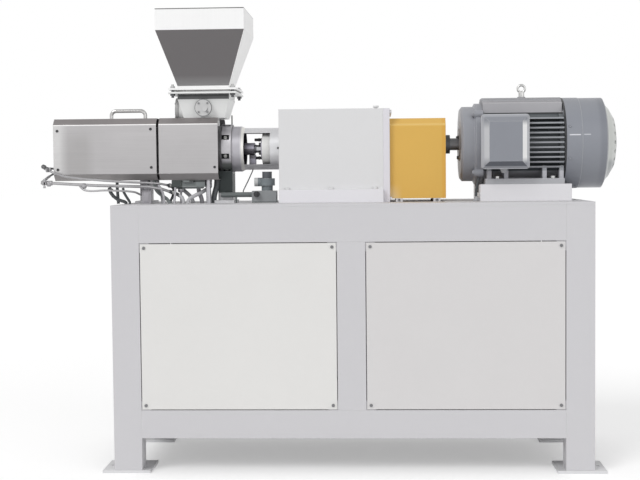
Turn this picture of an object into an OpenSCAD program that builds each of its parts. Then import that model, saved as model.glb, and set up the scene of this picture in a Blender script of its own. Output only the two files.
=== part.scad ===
// Twin screw extruder on a welded table: screws, barrel, hopper, gearbox, guard and motor.
// Lengths are in millimetres. +X runs from the discharge end to the motor, -Y is the front,
// +Z is up. The origin is the centre of the four anchor holes, on the floor.

/* [Table] */
// Length of the table
table_l = 1700; // [1500:10:1900]
// Depth of the table, front to back
table_w = 680; // [600:10:800]
// Height of the table top above the floor
table_h = 955; // [900:5:1050]
// Thickness of the top plate
top_t = 10; // [6:1:20]
// Width of a leg, seen from the front
leg_w = 100; // [80:5:140]
// Depth of a leg
leg_d = 75; // [60:5:100]
// Wall of the box section
tube_wall = 5; // [3:0.5:8]
// Width of the post between the panels
post_w = 100; // [60:5:160]
// Height of the gap under the lower rails
floor_gap = 125; // [80:5:180]
// Height of the lower rails
low_rail_h = 100; // [60:5:130]
// Height of the upper rails
top_rail_h = 125; // [80:5:160]
// Depth of a rail
rail_d = 50; // [40:5:60]

/* [Feet and panels] */
// Length of a foot plate
foot_l = 172; // [150:1:220]
// Depth of a foot plate
foot_d = 164; // [120:1:220]
// Thickness of a foot plate
foot_t = 10; // [6:1:20]
// Reach of a foot plate past the end of the table
foot_over = 43; // [30:1:60]
// Reach of a foot plate past the front of the table
foot_lead = 4; // [0:1:20]
// Diameter of an anchor hole
anchor_d = 14; // [10:1:20]
// Thickness of the sheet panels
panel_t = 3; // [2:0.5:5]
// Gap round a panel
panel_gap = 3; // [1:0.5:6]

/* [Screws and barrel] */
// Height of the screw axes above the floor
screw_z = 1156; // [1140:1:1180]
// Distance between the two screw axes
screw_gap_y = 30; // [29:0.5:31]
// Diameter of the barrel bores
bore_d = 36; // [35:0.1:37]
// Radial clearance of the screw elements
screw_clear = 0.4; // [0.3:0.05:0.6]
// Diameter of the screw shafts
screw_shaft_d = 16; // [12:0.5:18]
// Lead of the feed flights
feed_lead = 60; // [50:1:80]
// Lead of the metering flights
meter_lead = 48; // [40:1:60]
// Height and width of the square barrel
barrel_s = 100; // [92:1:110]
// Length of one barrel segment
segment_l = 72; // [64:1:74]
// Thickness of the barrel flanges
flange_t = 10; // [8:1:14]
// Height and width of the barrel flanges
flange_s = 124; // [118:1:130]
// Thickness of the discharge flange
discharge_t = 12; // [10:1:20]
// Diameter of the die bolt holes
die_hole_d = 8.5; // [6:0.5:11]

/* [Covers] */
// Width of the barrel covers
cover_w = 250; // [240:2:280]
// Height of the cover's straight front
cover_h = 183; // [176:1:200]
// Height and depth of the folded top edges
cover_fold = 22; // [14:1:30]
// Length of the hinged cover
long_cover_l = 384; // [376:2:400]
// Length of the fixed cover
short_cover_l = 219; // [210:1:222]
// Gap between the covers
cover_gap = 9; // [4:1:14]
// Thickness of the cover sheet
cover_t = 2; // [1.5:0.5:3]
// Diameter of the round handle
handle_d = 14; // [10:1:18]
// Length of the handle between its legs
handle_l = 129; // [100:1:160]
// Height of the handle above the cover
handle_h = 40; // [28:1:50]

/* [Hopper] */
// Width of the hopper mouth, along the machine
hopper_w = 324; // [280:2:340]
// Depth of the hopper mouth, front to back
hopper_d = 350; // [280:2:360]
// Height of the straight collar
hopper_collar_h = 78; // [50:1:100]
// Height of the sloping walls
hopper_slope_h = 198; // [150:1:240]
// Width of the hopper outlet
outlet_w = 190; // [160:1:200]
// Wall of the hopper
hopper_t = 2; // [1.5:0.5:4]
// Width of the square flanges
hopper_flange_w = 250; // [235:1:260]
// Thickness of each flange
hopper_flange_t = 7; // [5:0.5:10]

/* [Gearbox] */
// Length of the gearbox
gearbox_l = 405; // [395:1:420]
// Width of the gearbox
gearbox_w = 300; // [280:2:320]
// Height of the gearbox
gearbox_h = 341; // [330:1:360]
// Wall of the casing
casing_t = 30; // [26:1:32]
// Thickness of the bolted end cover
end_cover_t = 24; // [22:1:30]
// Module of the gear teeth
gear_m = 1.5; // [1.4:0.1:1.6]
// Width of the narrow gears
gear_face = 35; // [25:1:38]
// Diameter of the output shafts
output_d = 22; // [18:0.5:23]
// Diameter of the layshaft
lay_d = 30; // [24:1:36]
// Diameter of the input shaft
input_d = 20; // [18:0.5:22]

/* [Motor] */
// Outer diameter of the motor frame over its fins
motor_d = 336; // [320:2:340]
// Height of the fins over the frame
fin_h = 28; // [23:1:33]
// Length of the finned frame
frame_l = 291; // [280:1:300]
// Distance between two fins
fin_pitch = 17.6; // [16:0.2:19]
// Thickness of a fin
fin_t = 6; // [4:0.5:8]
// Diameter of the motor shaft
motor_shaft_d = 45; // [38:1:48]
// Thickness of the fan cover sheet
fan_sheet_t = 3; // [2:0.5:4]
// Length of the straight part of the fan cover
fan_cover_l = 150; // [140:1:160]
// Height of the motor plinth
plinth_h = 61; // [50:1:62]

/* [Hidden] */
$fn = 48;
// Overrun of every cut
cut = 1;
// Gap between pieces that only lie against each other
seat_gap = 0.3;
// Radial clearance of a shaft in its bearing
run_clear = 0.05;
// Radial clearance of a bolt in its hole
bolt_clear = 0.3;
rotate_ops = [90, 0, 90];

// Places of the table
table_x = table_l / 2;
table_y = table_w / 2;
rail_low_z = floor_gap;
rail_low_top = floor_gap + low_rail_h;
rail_top_z = table_h - top_t - top_rail_h;
leg_top = table_h - top_t;
anchor_x = table_x + foot_over / 2;
anchor_y = table_y + foot_lead - foot_d / 2;
cross_rail_x_share = 0.18;
tab_s = 34;
tab_t = 5;
panel_inset = 1;
panel_screw_d = 6;
panel_screw_edge = 14;
screw_head_share = 1.9;
screw_head_t = 3;

// Places along the machine
barrel_x1 = -490;
feed_barrel_l = 230;
feed_x0 = barrel_x1 - feed_barrel_l;
segment_n = 5;
barrel_x0 = feed_x0 - segment_n * segment_l;
discharge_x0 = barrel_x0 - discharge_t;
feed_x = -547;
ring_l = 42;
ring_x1 = barrel_x1 + ring_l;
gearbox_x0 = -265;
gearbox_x1 = gearbox_x0 + gearbox_l;
casing_x1 = gearbox_x1 - end_cover_t;

// Gear train: one input stage, then one gear on the layshaft for each screw
input_teeth = 16;
lay_teeth = 64;
drive_teeth = 50;
output_teeth = 20;
stage1_d = gear_m * (input_teeth + lay_teeth) / 2;
stage2_d = gear_m * (drive_teeth + output_teeth) / 2;
lay_drop = sqrt(pow(stage2_d, 2) - pow(screw_gap_y / 2, 2));
lay_z = screw_z - lay_drop;
motor_z = lay_z + stage1_d;
addendum_share = 0.9;
dedendum_share = 1.15;
backlash = 0.12;
front_wall_t = 30;
web_t = 20;
gear_gap = 15;
bearing_w = 20;
left_gear_x = gearbox_x0 + front_wall_t + gear_gap;
right_gear_x = left_gear_x + gear_face + gear_gap;
web1_x = right_gear_x + gear_face + gear_gap;
web2_x = web1_x + web_t + 2 * gear_gap;
input_gear_x = web2_x + web_t + gear_gap + gear_gap;
wide_gear_more = 5;
lay_gear_face = gear_face + wide_gear_more;
bearing_ring_t = 3.4;
lay_ring_t = 11;
input_ring_t = 10;
foot_strip_h = 48;
foot_strip_reach = 25;
gearbox_bolt_d = 12;
seal_l = 71;
seal_d = 120;
lantern_room = 58;
output_x0 = gearbox_x0 - seal_l - lantern_room;
sleeve_l = 56;
sleeve_d = 29;
sleeve_lap = 4;
sleeve_x0 = output_x0 - sleeve_lap;

// Screw profile and elements
tip_r = bore_d / 2;
flank_a = 2 * acos(screw_gap_y / bore_d);
tip_a = 90 - flank_a;
slice_turn = 12;
disc_n = 5;
disc_t = 8;
disc_stagger = 45;
feed_flight_l = 210;
knead_in = 20;
meter_flight_l = 200;
screw_out = 6;
tip_washer_t = 3;
tip_nut_t = 4;
elements_x1 = feed_x0 + feed_flight_l;
knead1_x = feed_x0 - knead_in;
knead2_x = knead1_x - meter_flight_l;
elements_x0 = barrel_x0 - screw_out;
screw_x0 = elements_x0 - tip_washer_t;

// Covers and trays
cover_end_gap = 2;
cover_x1 = barrel_x1 - cover_end_gap;
short_x0 = cover_x1 - short_cover_l;
long_x1 = short_x0 - cover_gap;
long_x0 = long_x1 - long_cover_l;
cover_z0 = 1066;
cover_top = cover_z0 + cover_h + cover_fold;
tray_drop = 24;
tray_z0 = cover_z0 - tray_drop;
hinge_d = 12;
hinge_pin_d = 6;
hinge_y = cover_w / 2 + hinge_d / 2 + seat_gap;
hinge_l = 60;
hinge_edge = 50;
handle_shift = 66;

// Hopper and throat
throat_z0 = screw_z + barrel_s / 2;
throat_top = 1366;
throat_block_z = 1271;
throat_top_w = 191;
throat_low_w = 153;
throat_low_d = 150;
throat_neck_h = 20;
throat_mouth_w = 60;
throat_mouth_d = 40;
hopper_z0 = throat_top + hopper_flange_t;
outlet_neck_h = 9;
slope_z0 = hopper_z0 + hopper_flange_t + outlet_neck_h;
slope_z1 = slope_z0 + hopper_slope_h;
hopper_top = slope_z1 + hopper_collar_h;
hopper_bolt_d = 10;
hopper_bolt_edge = 14;
port_z = 1308;
port_front_d = 64;
port_side_d = 96;

// Motor
frame_x0 = 481;
frame_x1 = frame_x0 + frame_l;
frame_wall = 22;
motor_core_d = motor_d - 2 * fin_h;
frame_bore_d = motor_core_d - 2 * frame_wall;
stator_bore_d = 150;
rotor_d = 148;
core_in = 50;
core_x0 = frame_x0 + core_in;
core_l = 190;
shield_in = 3;
shield_rim = 10;
shield_d = motor_core_d - shield_in;
shield_x0 = 403;
shield_x1 = 449;
shield_ring_d = motor_core_d + 2 * shield_rim;
bearing_cap_d = 132;
bearing_cap_x = 397;
motor_bearing_d = 90;
shaft_x0 = 258;
shaft_tail = 92;
shaft_x1 = frame_x1 + shaft_tail;
fan_room = 40;
fan_x = frame_x1 + fan_room;
fan_step = 1.5;
fan_tip_gap = 23;
fan_d = motor_d - 2 * fan_tip_gap;
fan_vane_n = 7;
fan_end_x = frame_x1 + fan_cover_l;
plinth_top = table_h + plinth_h;
plinth_x0 = 466;
plinth_x1 = 795;
plinth_w = 70;
plinth_clear = 18.7;
// The plinth stands clear of the round of the motor
plinth_y0 = plinth_clear + sqrt(max(0, pow(motor_d / 2, 2) - pow(motor_z - plinth_top, 2)));
plinth_y1 = plinth_y0 + plinth_w;
foot_pad_x0 = 486;
foot_pad_x1 = 770;
foot_pad_h = 20;
foot_pad_in = 5;
// Places of the foot webs and bolts, as shares of the length of a foot
foot_web_shares = [0.05, 0.264, 0.75, 0.965];
foot_web_t = 15;
foot_bolt_shares = [0.155, 0.86];
foot_l_motor = foot_pad_x1 - foot_pad_x0;
foot_webs = [for (k = foot_web_shares) foot_pad_x0 + k * foot_l_motor];
foot_bolts = [for (k = foot_bolt_shares) foot_pad_x0 + k * foot_l_motor];
foot_bolt_d = 14;
foot_bolt_in = 33;
foot_bolt_y = plinth_y1 - foot_bolt_in;
box_w = 166;
box_h = 190;
box_x = 552;
box_z = 1169;
box_bevel = 24;
box_sink = 12;
box_depth = 56;
lid_depth = 28;
box_base_y = motor_d / 2 - box_sink;
box_y0 = box_base_y + box_depth;
box_y1 = box_y0 + lid_depth;
box_wall = 5;
box_rim_t = 4;
eyebolt_x = 632;
eyebolt_rise = 30.8;
eyebolt_r = 13;
eyebolt_wire = 4.6;
eyebolt_collar_r = 11;
plinth_tie_w = 40;
plinth_tie_h = 30;
foot_bolt_l = 40;
foot_bolt_head_t = 9;

// Guard over the shaft coupling
guard_x0 = gearbox_x1 + seat_gap;
guard_x1 = 344;
guard_w = 260;
guard_top = 1260;
guard_fold = 24;
guard_t = 3;
guard_gap = 12;
guard_tab = 26;
guard_tab_in = 20;
guard_hole_gap = 6;

// Routes of the water pipes and hoses: round numbers, chosen by hand
pipe_r = 4.3;
low_pipe_r = 5.5;
hose_r = 7;
thin_hose_r = 4;
wire_r = 5;
drain_r = 2.2;
pipe_sides = 8;
// Each point of a pipe: along in long covers, across in cover widths, up in cover heights
function pipe_route(shares) = [for (p = shares)
    [discharge_x0 + p[0] * long_cover_l, p[1] * cover_w, tray_z0 + p[2] * cover_h]];
upper_shares = [[0.0156, -0.16, 0.2825], [0.0156, -0.16, 0.268], [0.005, -0.16, 0.252],
    [-0.018, -0.162, 0.245], [-0.06, -0.175, 0.25], [-0.105, -0.225, 0.258],
    [-0.141, -0.352, 0.262], [-0.125, -0.464, 0.251], [-0.083, -0.528, 0.224],
    [-0.021, -0.552, 0.164], [0.083, -0.552, 0.093], [0.24, -0.552, 0.044], [0.448, -0.552, 0.005],
    [0.682, -0.544, -0.033], [0.865, -0.512, -0.049], [0.979, -0.448, -0.066],
    [1.047, -0.368, -0.098]];
lower_shares = [[0.0156, 0.12, 0.2825], [0.0156, 0.12, 0.262], [0.003, 0.12, 0.235],
    [-0.022, 0.118, 0.221], [-0.065, 0.105, 0.2], [-0.115, 0.045, 0.165],
    [-0.146, -0.12, 0.087], [-0.151, -0.32, 0.022], [-0.13, -0.464, -0.016],
    [-0.068, -0.536, -0.038], [0.135, -0.552, -0.066], [0.396, -0.552, -0.098],
    [0.682, -0.544, -0.115], [0.891, -0.512, -0.131], [1.005, -0.448, -0.175],
    [1.073, -0.368, -0.23]];
fitting_shares = [[-0.099, -0.052, -0.532, 0.23], [-0.099, -0.042, -0.536, -0.038]];
hose_routes = [
    [[-894, -136, 1016], [-892, -132, 1000], [-884, -122, 985], [-870, -112, 972], [-854, -107, 966],
        [-845, -105, 963.5], [-840, -104, 959.5], [-840, -104, 955.5]],
    [[-844, -134, 1014], [-843, -130, 1000], [-836, -122, 984], [-828, -116, 970], [-824, -114, 962],
        [-824, -114, 955.5]],
    [[-689, -91.4, 1023.8], [-676, -80, 1021], [-668, -66, 1010], [-668, -60, 992], [-676, -62, 972],
        [-680, -64, 964], [-680, -64, 955.5]],
    [[-679, -91.4, 999.7], [-666, -82, 995], [-650, -80, 988], [-634, -84, 978], [-628, -88, 966],
        [-628, -88, 955.5]],
    [[-640, -70, 1041.5], [-640, -70, 1020], [-639, -68, 990], [-640, -66, 968], [-640, -66, 955.5]],
    [[-534, -60, 1041.5], [-534, -60, 1026], [-538, -64, 1010], [-556, -74, 998], [-580, -84, 986],
        [-600, -90, 976], [-610, -92, 965], [-610, -92, 955.5]],
    [[-732, -60, 1041.5], [-732, -60, 1026], [-722, -70, 1006], [-710, -78, 984], [-708, -80, 966],
        [-708, -80, 955.5]],
    [[-373, -24, 1080], [-374, -24, 1074], [-390, -42, 1036], [-406, -60, 1001], [-407, -60, 994.8]],
    [[465, -103, 1044.2], [464, -103, 1034], [459, -106, 1016], [455, -111, 996], [454, -115, 976],
        [456, -116, 964], [456, -116, 955.5]]];
hose_radii = [6.5, wire_r, wire_r, hose_r, thin_hose_r, hose_r, 5.5, drain_r, wire_r];

// Small helpers
module box(x, y, z)
    translate([x[0], y[0], z[0]])
        cube([x[1] - x[0], y[1] - y[0], z[1] - z[0]]);

module rod_x(x, r, y = 0, z = 0)
    translate([x[0], y, z])
        rotate([0, 90, 0])
            cylinder(h = x[1] - x[0], r = r);

module rod_y(y, r, x, z)
    translate([x, y[0], z])
        rotate([-90, 0, 0])
            cylinder(h = y[1] - y[0], r = r);

module rod_z(z, r, x, y)
    translate([x, y, z[0]])
        cylinder(h = z[1] - z[0], r = r);

module ring_x(x, r_out, r_in, y = 0, z = 0)
    difference() {
        rod_x(x, r_out, y, z);
        rod_x([x[0] - cut, x[1] + cut], r_in, y, z);
    }

module section_x(x, points)
    translate([x[0], 0, 0])
        rotate(rotate_ops)
            linear_extrude(x[1] - x[0])
                polygon(points);

module profile_x(x, y, z, a)
    translate([x[0], y, z])
        rotate([a, 0, 0])
            rotate(rotate_ops)
                linear_extrude(x[1] - x[0])
                    children();

module motor_turn(a)
    translate([0, 0, motor_z])
        rotate([a, 0, 0])
            children();

// A profile of [radius, x] points, turned about a line along X
module turned_x(points, z)
    translate([0, 0, z])
        rotate([0, 90, 0])
            rotate_extrude($fn = 72)
                polygon(points);

module mirror_y() {
    children();
    mirror([0, 1, 0])
        children();
}

module four_corners() {
    mirror_y()
        children();
    mirror([1, 0, 0])
        mirror_y()
            children();
}

module tube_box(x, y, z, axis) {
    w = tube_wall;
    ax = axis == "x" ? -cut : w;
    ay = axis == "y" ? -cut : w;
    az = axis == "z" ? -cut : w;
    difference() {
        box(x, y, z);
        box([x[0] + ax, x[1] - ax], [y[0] + ay, y[1] - ay], [z[0] + az, z[1] - az]);
    }
}

module hex_x(x, r, y, z)
    translate([x[0], y, z])
        rotate([0, 90, 0])
            cylinder(h = x[1] - x[0], r = r, $fn = 6);

module hex_z(z, r, x, y)
    translate([x, y, z[0]])
        cylinder(h = z[1] - z[0], r = r, $fn = 6);

// A round tube swept along a route
function unit(v) = v / norm(v);
function tangent(p, i) = unit(p[min(i + 1, len(p) - 1)] - p[max(i - 1, 0)]);
function side_of(t) = unit(cross(t, [0.31, 1, 0.17]));
function tube_ring(p, i, r, n) =
    let (t = tangent(p, i), u = side_of(t), v = cross(t, u))
    [for (k = [0:n - 1]) p[i] + r * (cos(360 * k / n) * u + sin(360 * k / n) * v)];

module swept_tube(p, r, n = pipe_sides) {
    m = len(p);
    points = [for (i = [0:m - 1]) each tube_ring(p, i, r, n)];
    walls = [for (i = [0:m - 2]) for (k = [0:n - 1])
        [i * n + k, i * n + (k + 1) % n, (i + 1) * n + (k + 1) % n, (i + 1) * n + k]];
    first = [for (k = [0:n - 1]) n - 1 - k];
    last = [for (k = [0:n - 1]) (m - 1) * n + k];
    tris = [for (f = walls) each [[f[0], f[2], f[1]], [f[0], f[3], f[2]]]];
    ends = [for (k = [1:n - 2]) each [[0, k, k + 1], [last[0], last[k + 1], last[k]]]];
    polyhedron(points, concat(tris, ends));
}

// Table
module foot_plates() color([0.80, 0.80, 0.81])
    four_corners()
        difference() {
            box([-table_x - foot_over, -table_x - foot_over + foot_l],
                [-table_y - foot_lead, -table_y - foot_lead + foot_d], [0, foot_t]);
            rod_z([-cut, foot_t + cut], anchor_d / 2, -anchor_x, -anchor_y);
        }

// Screw places of a panel that spans a to b, measured from its corners
function screw_spots(a, b, c, d) =
    let (e = panel_gap + panel_screw_edge)
    [for (i = [a + e, b - e]) for (j = [c + e, d - e]) [i, j]];

bay_x0 = post_w / 2;
bay_x1 = table_x - leg_w;
bay_y1 = table_y - leg_d;
bay_z0 = rail_low_top;
bay_z1 = rail_top_z;
panel_back = table_y - panel_inset - panel_t;

module front_tabs()
    for (s = [-1, 1])
        for (p = screw_spots(bay_x0, bay_x1, bay_z0, bay_z1)) {
            near = p[0] > (bay_x0 + bay_x1) / 2;
            x = near ? [bay_x1 - tab_s, bay_x1] : [bay_x0, bay_x0 + tab_s];
            xs = s > 0 ? x : [-x[1], -x[0]];
            difference() {
                box(xs, [-panel_back, -panel_back + tab_t], [p[1] - tab_s / 2, p[1] + tab_s / 2]);
                rod_y([-panel_back - cut, -panel_back + tab_t + cut], panel_screw_d / 2 + bolt_clear,
                    s * p[0], p[1]);
            }
        }

module end_tabs()
    for (p = screw_spots(-bay_y1, bay_y1, bay_z0, bay_z1)) {
        y = p[0] > 0 ? [bay_y1 - tab_s, bay_y1] : [-bay_y1, -bay_y1 + tab_s];
        x0 = -table_x + panel_inset + panel_t;
        difference() {
            box([x0, x0 + tab_t], y, [p[1] - tab_s / 2, p[1] + tab_s / 2]);
            rod_x([x0 - cut, x0 + tab_t + cut], panel_screw_d / 2 + bolt_clear, p[0], p[1]);
        }
    }

module uprights() color([0.81, 0.81, 0.82]) {
    four_corners()
        tube_box([-table_x, -table_x + leg_w], [-table_y, -table_y + leg_d], [foot_t, leg_top], "z");
    mirror_y() {
        tube_box(square_y(post_w), [-table_y, -table_y + rail_d],
            [rail_low_top, rail_top_z], "z");
        front_tabs();
    }
    end_tabs();
    mirror([1, 0, 0])
        end_tabs();
}

module long_rails() color([0.81, 0.81, 0.82])
    mirror_y() {
        x = [-table_x + leg_w, table_x - leg_w];
        y = [-table_y, -table_y + rail_d];
        tube_box(x, y, [rail_low_z, rail_low_top], "x");
        tube_box(x, y, [rail_top_z, leg_top], "x");
    }

module cross_rails() color([0.80, 0.80, 0.81]) {
    for (s = [0, 1])
        mirror([s, 0, 0]) {
            x = [-table_x, -table_x + rail_d];
            tube_box(x, [-bay_y1, bay_y1], [rail_low_z, rail_low_top], "y");
            tube_box(x, [-bay_y1, bay_y1], [rail_top_z, leg_top], "y");
        }
    for (k = [-1:1]) {
        x = k * cross_rail_x_share * table_l;
        tube_box([x - rail_d / 2, x + rail_d / 2], [-table_y + rail_d, table_y - rail_d],
            [rail_top_z, leg_top], "y");
    }
}

module top_plate() color([0.82, 0.82, 0.83])
    box([-table_x, table_x], [-table_y, table_y], [leg_top, table_h]);

module wide_panels()
    for (s = [-1, 1])
        difference() {
            x = s > 0 ? [bay_x0 + panel_gap, bay_x1 - panel_gap]
                : [-bay_x1 + panel_gap, -bay_x0 - panel_gap];
            box(x, [-table_y + panel_inset, -panel_back], [bay_z0 + panel_gap, bay_z1 - panel_gap]);
            for (p = screw_spots(bay_x0, bay_x1, bay_z0, bay_z1))
                rod_y([-table_y - cut, -panel_back + cut], panel_screw_d / 2 + bolt_clear,
                    s * p[0], p[1]);
        }

module side_panels() color([0.89, 0.89, 0.88])
    mirror_y()
        wide_panels();

module end_panels() color([0.89, 0.89, 0.88])
    for (s = [0, 1])
        mirror([s, 0, 0])
            difference() {
                box([-table_x + panel_inset, -table_x + panel_inset + panel_t],
                    [-bay_y1 + panel_gap, bay_y1 - panel_gap],
                    [bay_z0 + panel_gap, bay_z1 - panel_gap]);
                for (p = screw_spots(-bay_y1, bay_y1, bay_z0, bay_z1))
                    rod_x([-table_x - cut, -table_x + panel_inset + panel_t + cut],
                        panel_screw_d / 2 + bolt_clear, p[0], p[1]);
            }

module panel_screws() color([0.6, 0.6, 0.6]) {
    r = panel_screw_d / 2;
    y0 = -table_y + panel_inset;
    x0 = -table_x + panel_inset;
    mirror_y()
        for (s = [-1, 1])
            for (p = screw_spots(bay_x0, bay_x1, bay_z0, bay_z1)) {
                rod_y([y0 - screw_head_t, y0], r * screw_head_share, s * p[0], p[1]);
                rod_y([y0, y0 + panel_t + tab_t + cut], r, s * p[0], p[1]);
            }
    for (s = [0, 1])
        mirror([s, 0, 0])
            for (p = screw_spots(-bay_y1, bay_y1, bay_z0, bay_z1)) {
                rod_x([x0 - screw_head_t, x0], r * screw_head_share, p[0], p[1]);
                rod_x([x0, x0 + panel_t + tab_t + cut], r, p[0], p[1]);
            }
}

// Barrel
module screw_rod(s, x, r)
    rod_x(x, r, s * screw_gap_y / 2, screw_z);

module twin_rods(x, r)
    for (s = [-1, 1])
        screw_rod(s, x, r);

function square_y(s) = [-s / 2, s / 2];
function square_z(s) = [screw_z - s / 2, screw_z + s / 2];
flange_bolt_d = 8;
flange_bolt_y = flange_s / 2 - flange_bolt_d * 0.75;

module flange_spots()
    for (y = [-1, 1])
        for (z = [-1, 1])
            translate([0, y * flange_bolt_y, screw_z + z * flange_bolt_y])
                children();

module flange_holes(x)
    flange_spots()
        rod_x([x[0] - cut, x[1] + cut], flange_bolt_d / 2 + bolt_clear);

module barrel_block(x, ends)
    difference() {
        union() {
            box(x, square_y(barrel_s), square_z(barrel_s));
            for (e = ends)
                box(e, square_y(flange_s), square_z(flange_s));
        }
        twin_rods([x[0] - cut, x[1] + cut], bore_d / 2);
        for (e = ends)
            flange_holes(e);
    }

module barrel_segments() color([0.55, 0.55, 0.57])
    for (i = [0:segment_n - 1]) {
        x0 = barrel_x0 + i * segment_l;
        x1 = x0 + segment_l - seat_gap;
        barrel_block([x0, x1], [[x0, x0 + flange_t], [x0 + segment_l - flange_t, x1]]);
    }

round_flange_t = 15;
round_flange_d = 176;
module feed_barrel() color([0.58, 0.58, 0.60])
    difference() {
        union() {
            box([feed_x0, barrel_x1], square_y(barrel_s), square_z(barrel_s));
            box([feed_x0, feed_x0 + flange_t], square_y(flange_s), square_z(flange_s));
            rod_x([barrel_x1 - round_flange_t, barrel_x1], round_flange_d / 2, 0, screw_z);
        }
        twin_rods([feed_x0 - cut, barrel_x1 + cut], bore_d / 2);
        flange_holes([feed_x0, feed_x0 + flange_t]);
        box(feed_w(throat_mouth_w),
            square_y(throat_mouth_d), [screw_z, throat_z0 + cut]);
    }

heater_t = 10;
heater_gap = 7;
module heater_shells() color([0.70, 0.70, 0.71])
    for (i = [0:segment_n - 1]) {
        x0 = barrel_x0 + i * segment_l + flange_t + heater_gap;
        x1 = x0 + segment_l - 2 * (flange_t + heater_gap);
        s = barrel_s + 2 * heater_t;
        inner = barrel_s + 2 * seat_gap;
        for (u = [0, 1])
            translate([0, 0, screw_z])
                mirror([0, 0, u])
                    difference() {
                        box([x0, x1], square_y(s), [cut, s / 2]);
                        box([x0 - cut, x1 + cut], square_y(inner), [-cut, inner / 2]);
                    }
    }

die_hole_share = 0.78;
module discharge_flange() color([0.72, 0.72, 0.74])
    difference() {
        box([discharge_x0, barrel_x0], square_y(flange_s), square_z(flange_s));
        twin_rods([discharge_x0 - cut, barrel_x0 + cut], bore_d / 2);
        flange_holes([discharge_x0, barrel_x0]);
        for (y = [-1, 1])
            for (z = [-1, 1])
                rod_x([discharge_x0 - cut, barrel_x0 + cut], die_hole_d / 2,
                    y * die_spacing / 2, screw_z + z * die_spacing / 2);
    }
die_spacing = 84;

// Bolts of the barrel flanges: head on one side, nut on the other, but flush in the die face
bolt_head_share = 1.85;
bolt_head_t = 5;
module barrel_bolts() color([0.35, 0.35, 0.37]) {
    r = flange_bolt_d / 2;
    for (i = [0:segment_n]) {
        x = barrel_x0 + i * segment_l;
        x0 = i == 0 ? x - discharge_t + seat_gap : x - flange_t;
        x1 = x + flange_t;
        flange_spots() {
            rod_x([x0, x1], r);
            if (i > 0)
                hex_x([x0 - bolt_head_t, x0], r * bolt_head_share, 0, 0);
            hex_x([x1, x1 + bolt_head_t], r * bolt_head_share, 0, 0);
        }
    }
}

clamp_d = 186;
clamp_bore_d = 120;
support_plate_y = 84;
support_plate_t = 10;
support_plate_reach = 10;
support_clamp_in = 12;
// Supports at a barrel joint and under the clamp: ends along X, half width and top
support_in = 8;
support_joint_w = 40;
support_joint_x = barrel_x0 + (segment_n - 1) * segment_l - support_in;
support_joint_y = 30;
support_clamp_x = barrel_x1 - support_clamp_in;
support_clamp_y = 45;
supports = [[support_joint_x, support_joint_x + support_joint_w, support_joint_y, screw_z - flange_s / 2],
    [support_clamp_x, ring_x1, support_clamp_y, screw_z - flange_s / 2]];
module barrel_supports() color([0.20, 0.22, 0.23])
    for (q = supports)
        difference() {
            union() {
                box([q[0] - support_plate_reach, q[1] + support_plate_reach],
                    square_y(2 * support_plate_y), [table_h, table_h + support_plate_t]);
                box([q[0], q[1]], square_y(2 * q[2]), [table_h, q[3]]);
            }
            if (q[1] == ring_x1)
                rod_x([q[0] - cut, q[1] + cut], clamp_d / 2, 0, screw_z);
        }

tray_t = 2;
tray_lip = cover_fold;
module tray(x, slot)
    difference() {
        section_x(x, [[-cover_w / 2, cover_z0 - seat_gap], [-cover_w / 2 + tray_lip, tray_z0],
            [cover_w / 2 - tray_lip, tray_z0], [cover_w / 2, cover_z0 - seat_gap],
            [cover_w / 2 - tray_t, cover_z0 - seat_gap], [cover_w / 2 - tray_lip - tray_t, tray_z0 + tray_t],
            [-cover_w / 2 + tray_lip + tray_t, tray_z0 + tray_t],
            [-cover_w / 2 + tray_t, cover_z0 - seat_gap]]);
        box([slot[0] - seat_gap, slot[1] + seat_gap],
            square_y(2 * (slot[2] + seat_gap)), [tray_z0 - cut, tray_z0 + tray_t + cut]);
    }

module knuckle(x0, x1, z1) {
    r = hinge_pin_d / 2 + run_clear;
    difference() {
        union() {
            rod_x([x0, x1], hinge_d / 2, hinge_y, cover_z0);
            box([x0, x1], z1 > 0 ? [cover_w / 2, hinge_y] : [cover_w / 2 - tray_t, hinge_y],
                z1 > 0 ? [cover_z0, cover_z0 + hinge_d] : [cover_z0 - hinge_d / 2, cover_z0 - 2 * seat_gap]);
        }
        rod_x([x0 - cut, x1 + cut], r, hinge_y, cover_z0);
    }
}

hinge_xs = [long_x0 + hinge_edge, long_x1 - hinge_edge - hinge_l];
hinge_third = hinge_l / 3;
module lower_trays() color([0.45, 0.44, 0.44]) {
    tray([long_x0, long_x1], supports[0]);
    tray([short_x0, cover_x1], supports[1]);
    for (x = hinge_xs) {
        knuckle(x, x + hinge_third - seat_gap, -1);
        knuckle(x + 2 * hinge_third + seat_gap, x + hinge_l, -1);
    }
}

module hinge_pins() color([0.75, 0.75, 0.76])
    for (x = hinge_xs) {
        rod_x([x - hinge_pin_d / 2, x + hinge_l + hinge_pin_d / 2], hinge_pin_d / 2, hinge_y, cover_z0);
        rod_x([x - hinge_pin_d, x - seat_gap], hinge_pin_d / 2 + cut, hinge_y, cover_z0);
    }

// Clamp between the barrel and the lantern, with a slot over each of its bolts
clamp_slots = 8;
clamp_turn = 17.5;
slot_l = 29;
slot_w = 20;
slot_depth = 12;
clamp_pin_d = 9;
clamp_pin_h = 34;
module clamp_ring() color([0.62, 0.62, 0.64]) {
    difference() {
        ring_x([barrel_x1, ring_x1], clamp_d / 2, clamp_bore_d / 2, 0, screw_z);
        for (k = [0:clamp_slots - 1])
            translate([0, 0, screw_z])
                rotate([clamp_turn + k * 360 / clamp_slots, 0, 0])
                    box([barrel_x1 + (ring_l - slot_l) / 2, ring_x1 - (ring_l - slot_l) / 2],
                        square_y(slot_w), [clamp_d / 2 - slot_depth, clamp_d]);
    }
    rod_z([screw_z + clamp_d / 2 - cut, screw_z + clamp_d / 2 + clamp_pin_h], clamp_pin_d / 4,
        ring_x1 - clamp_pin_d / 2, 0);
}

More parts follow.
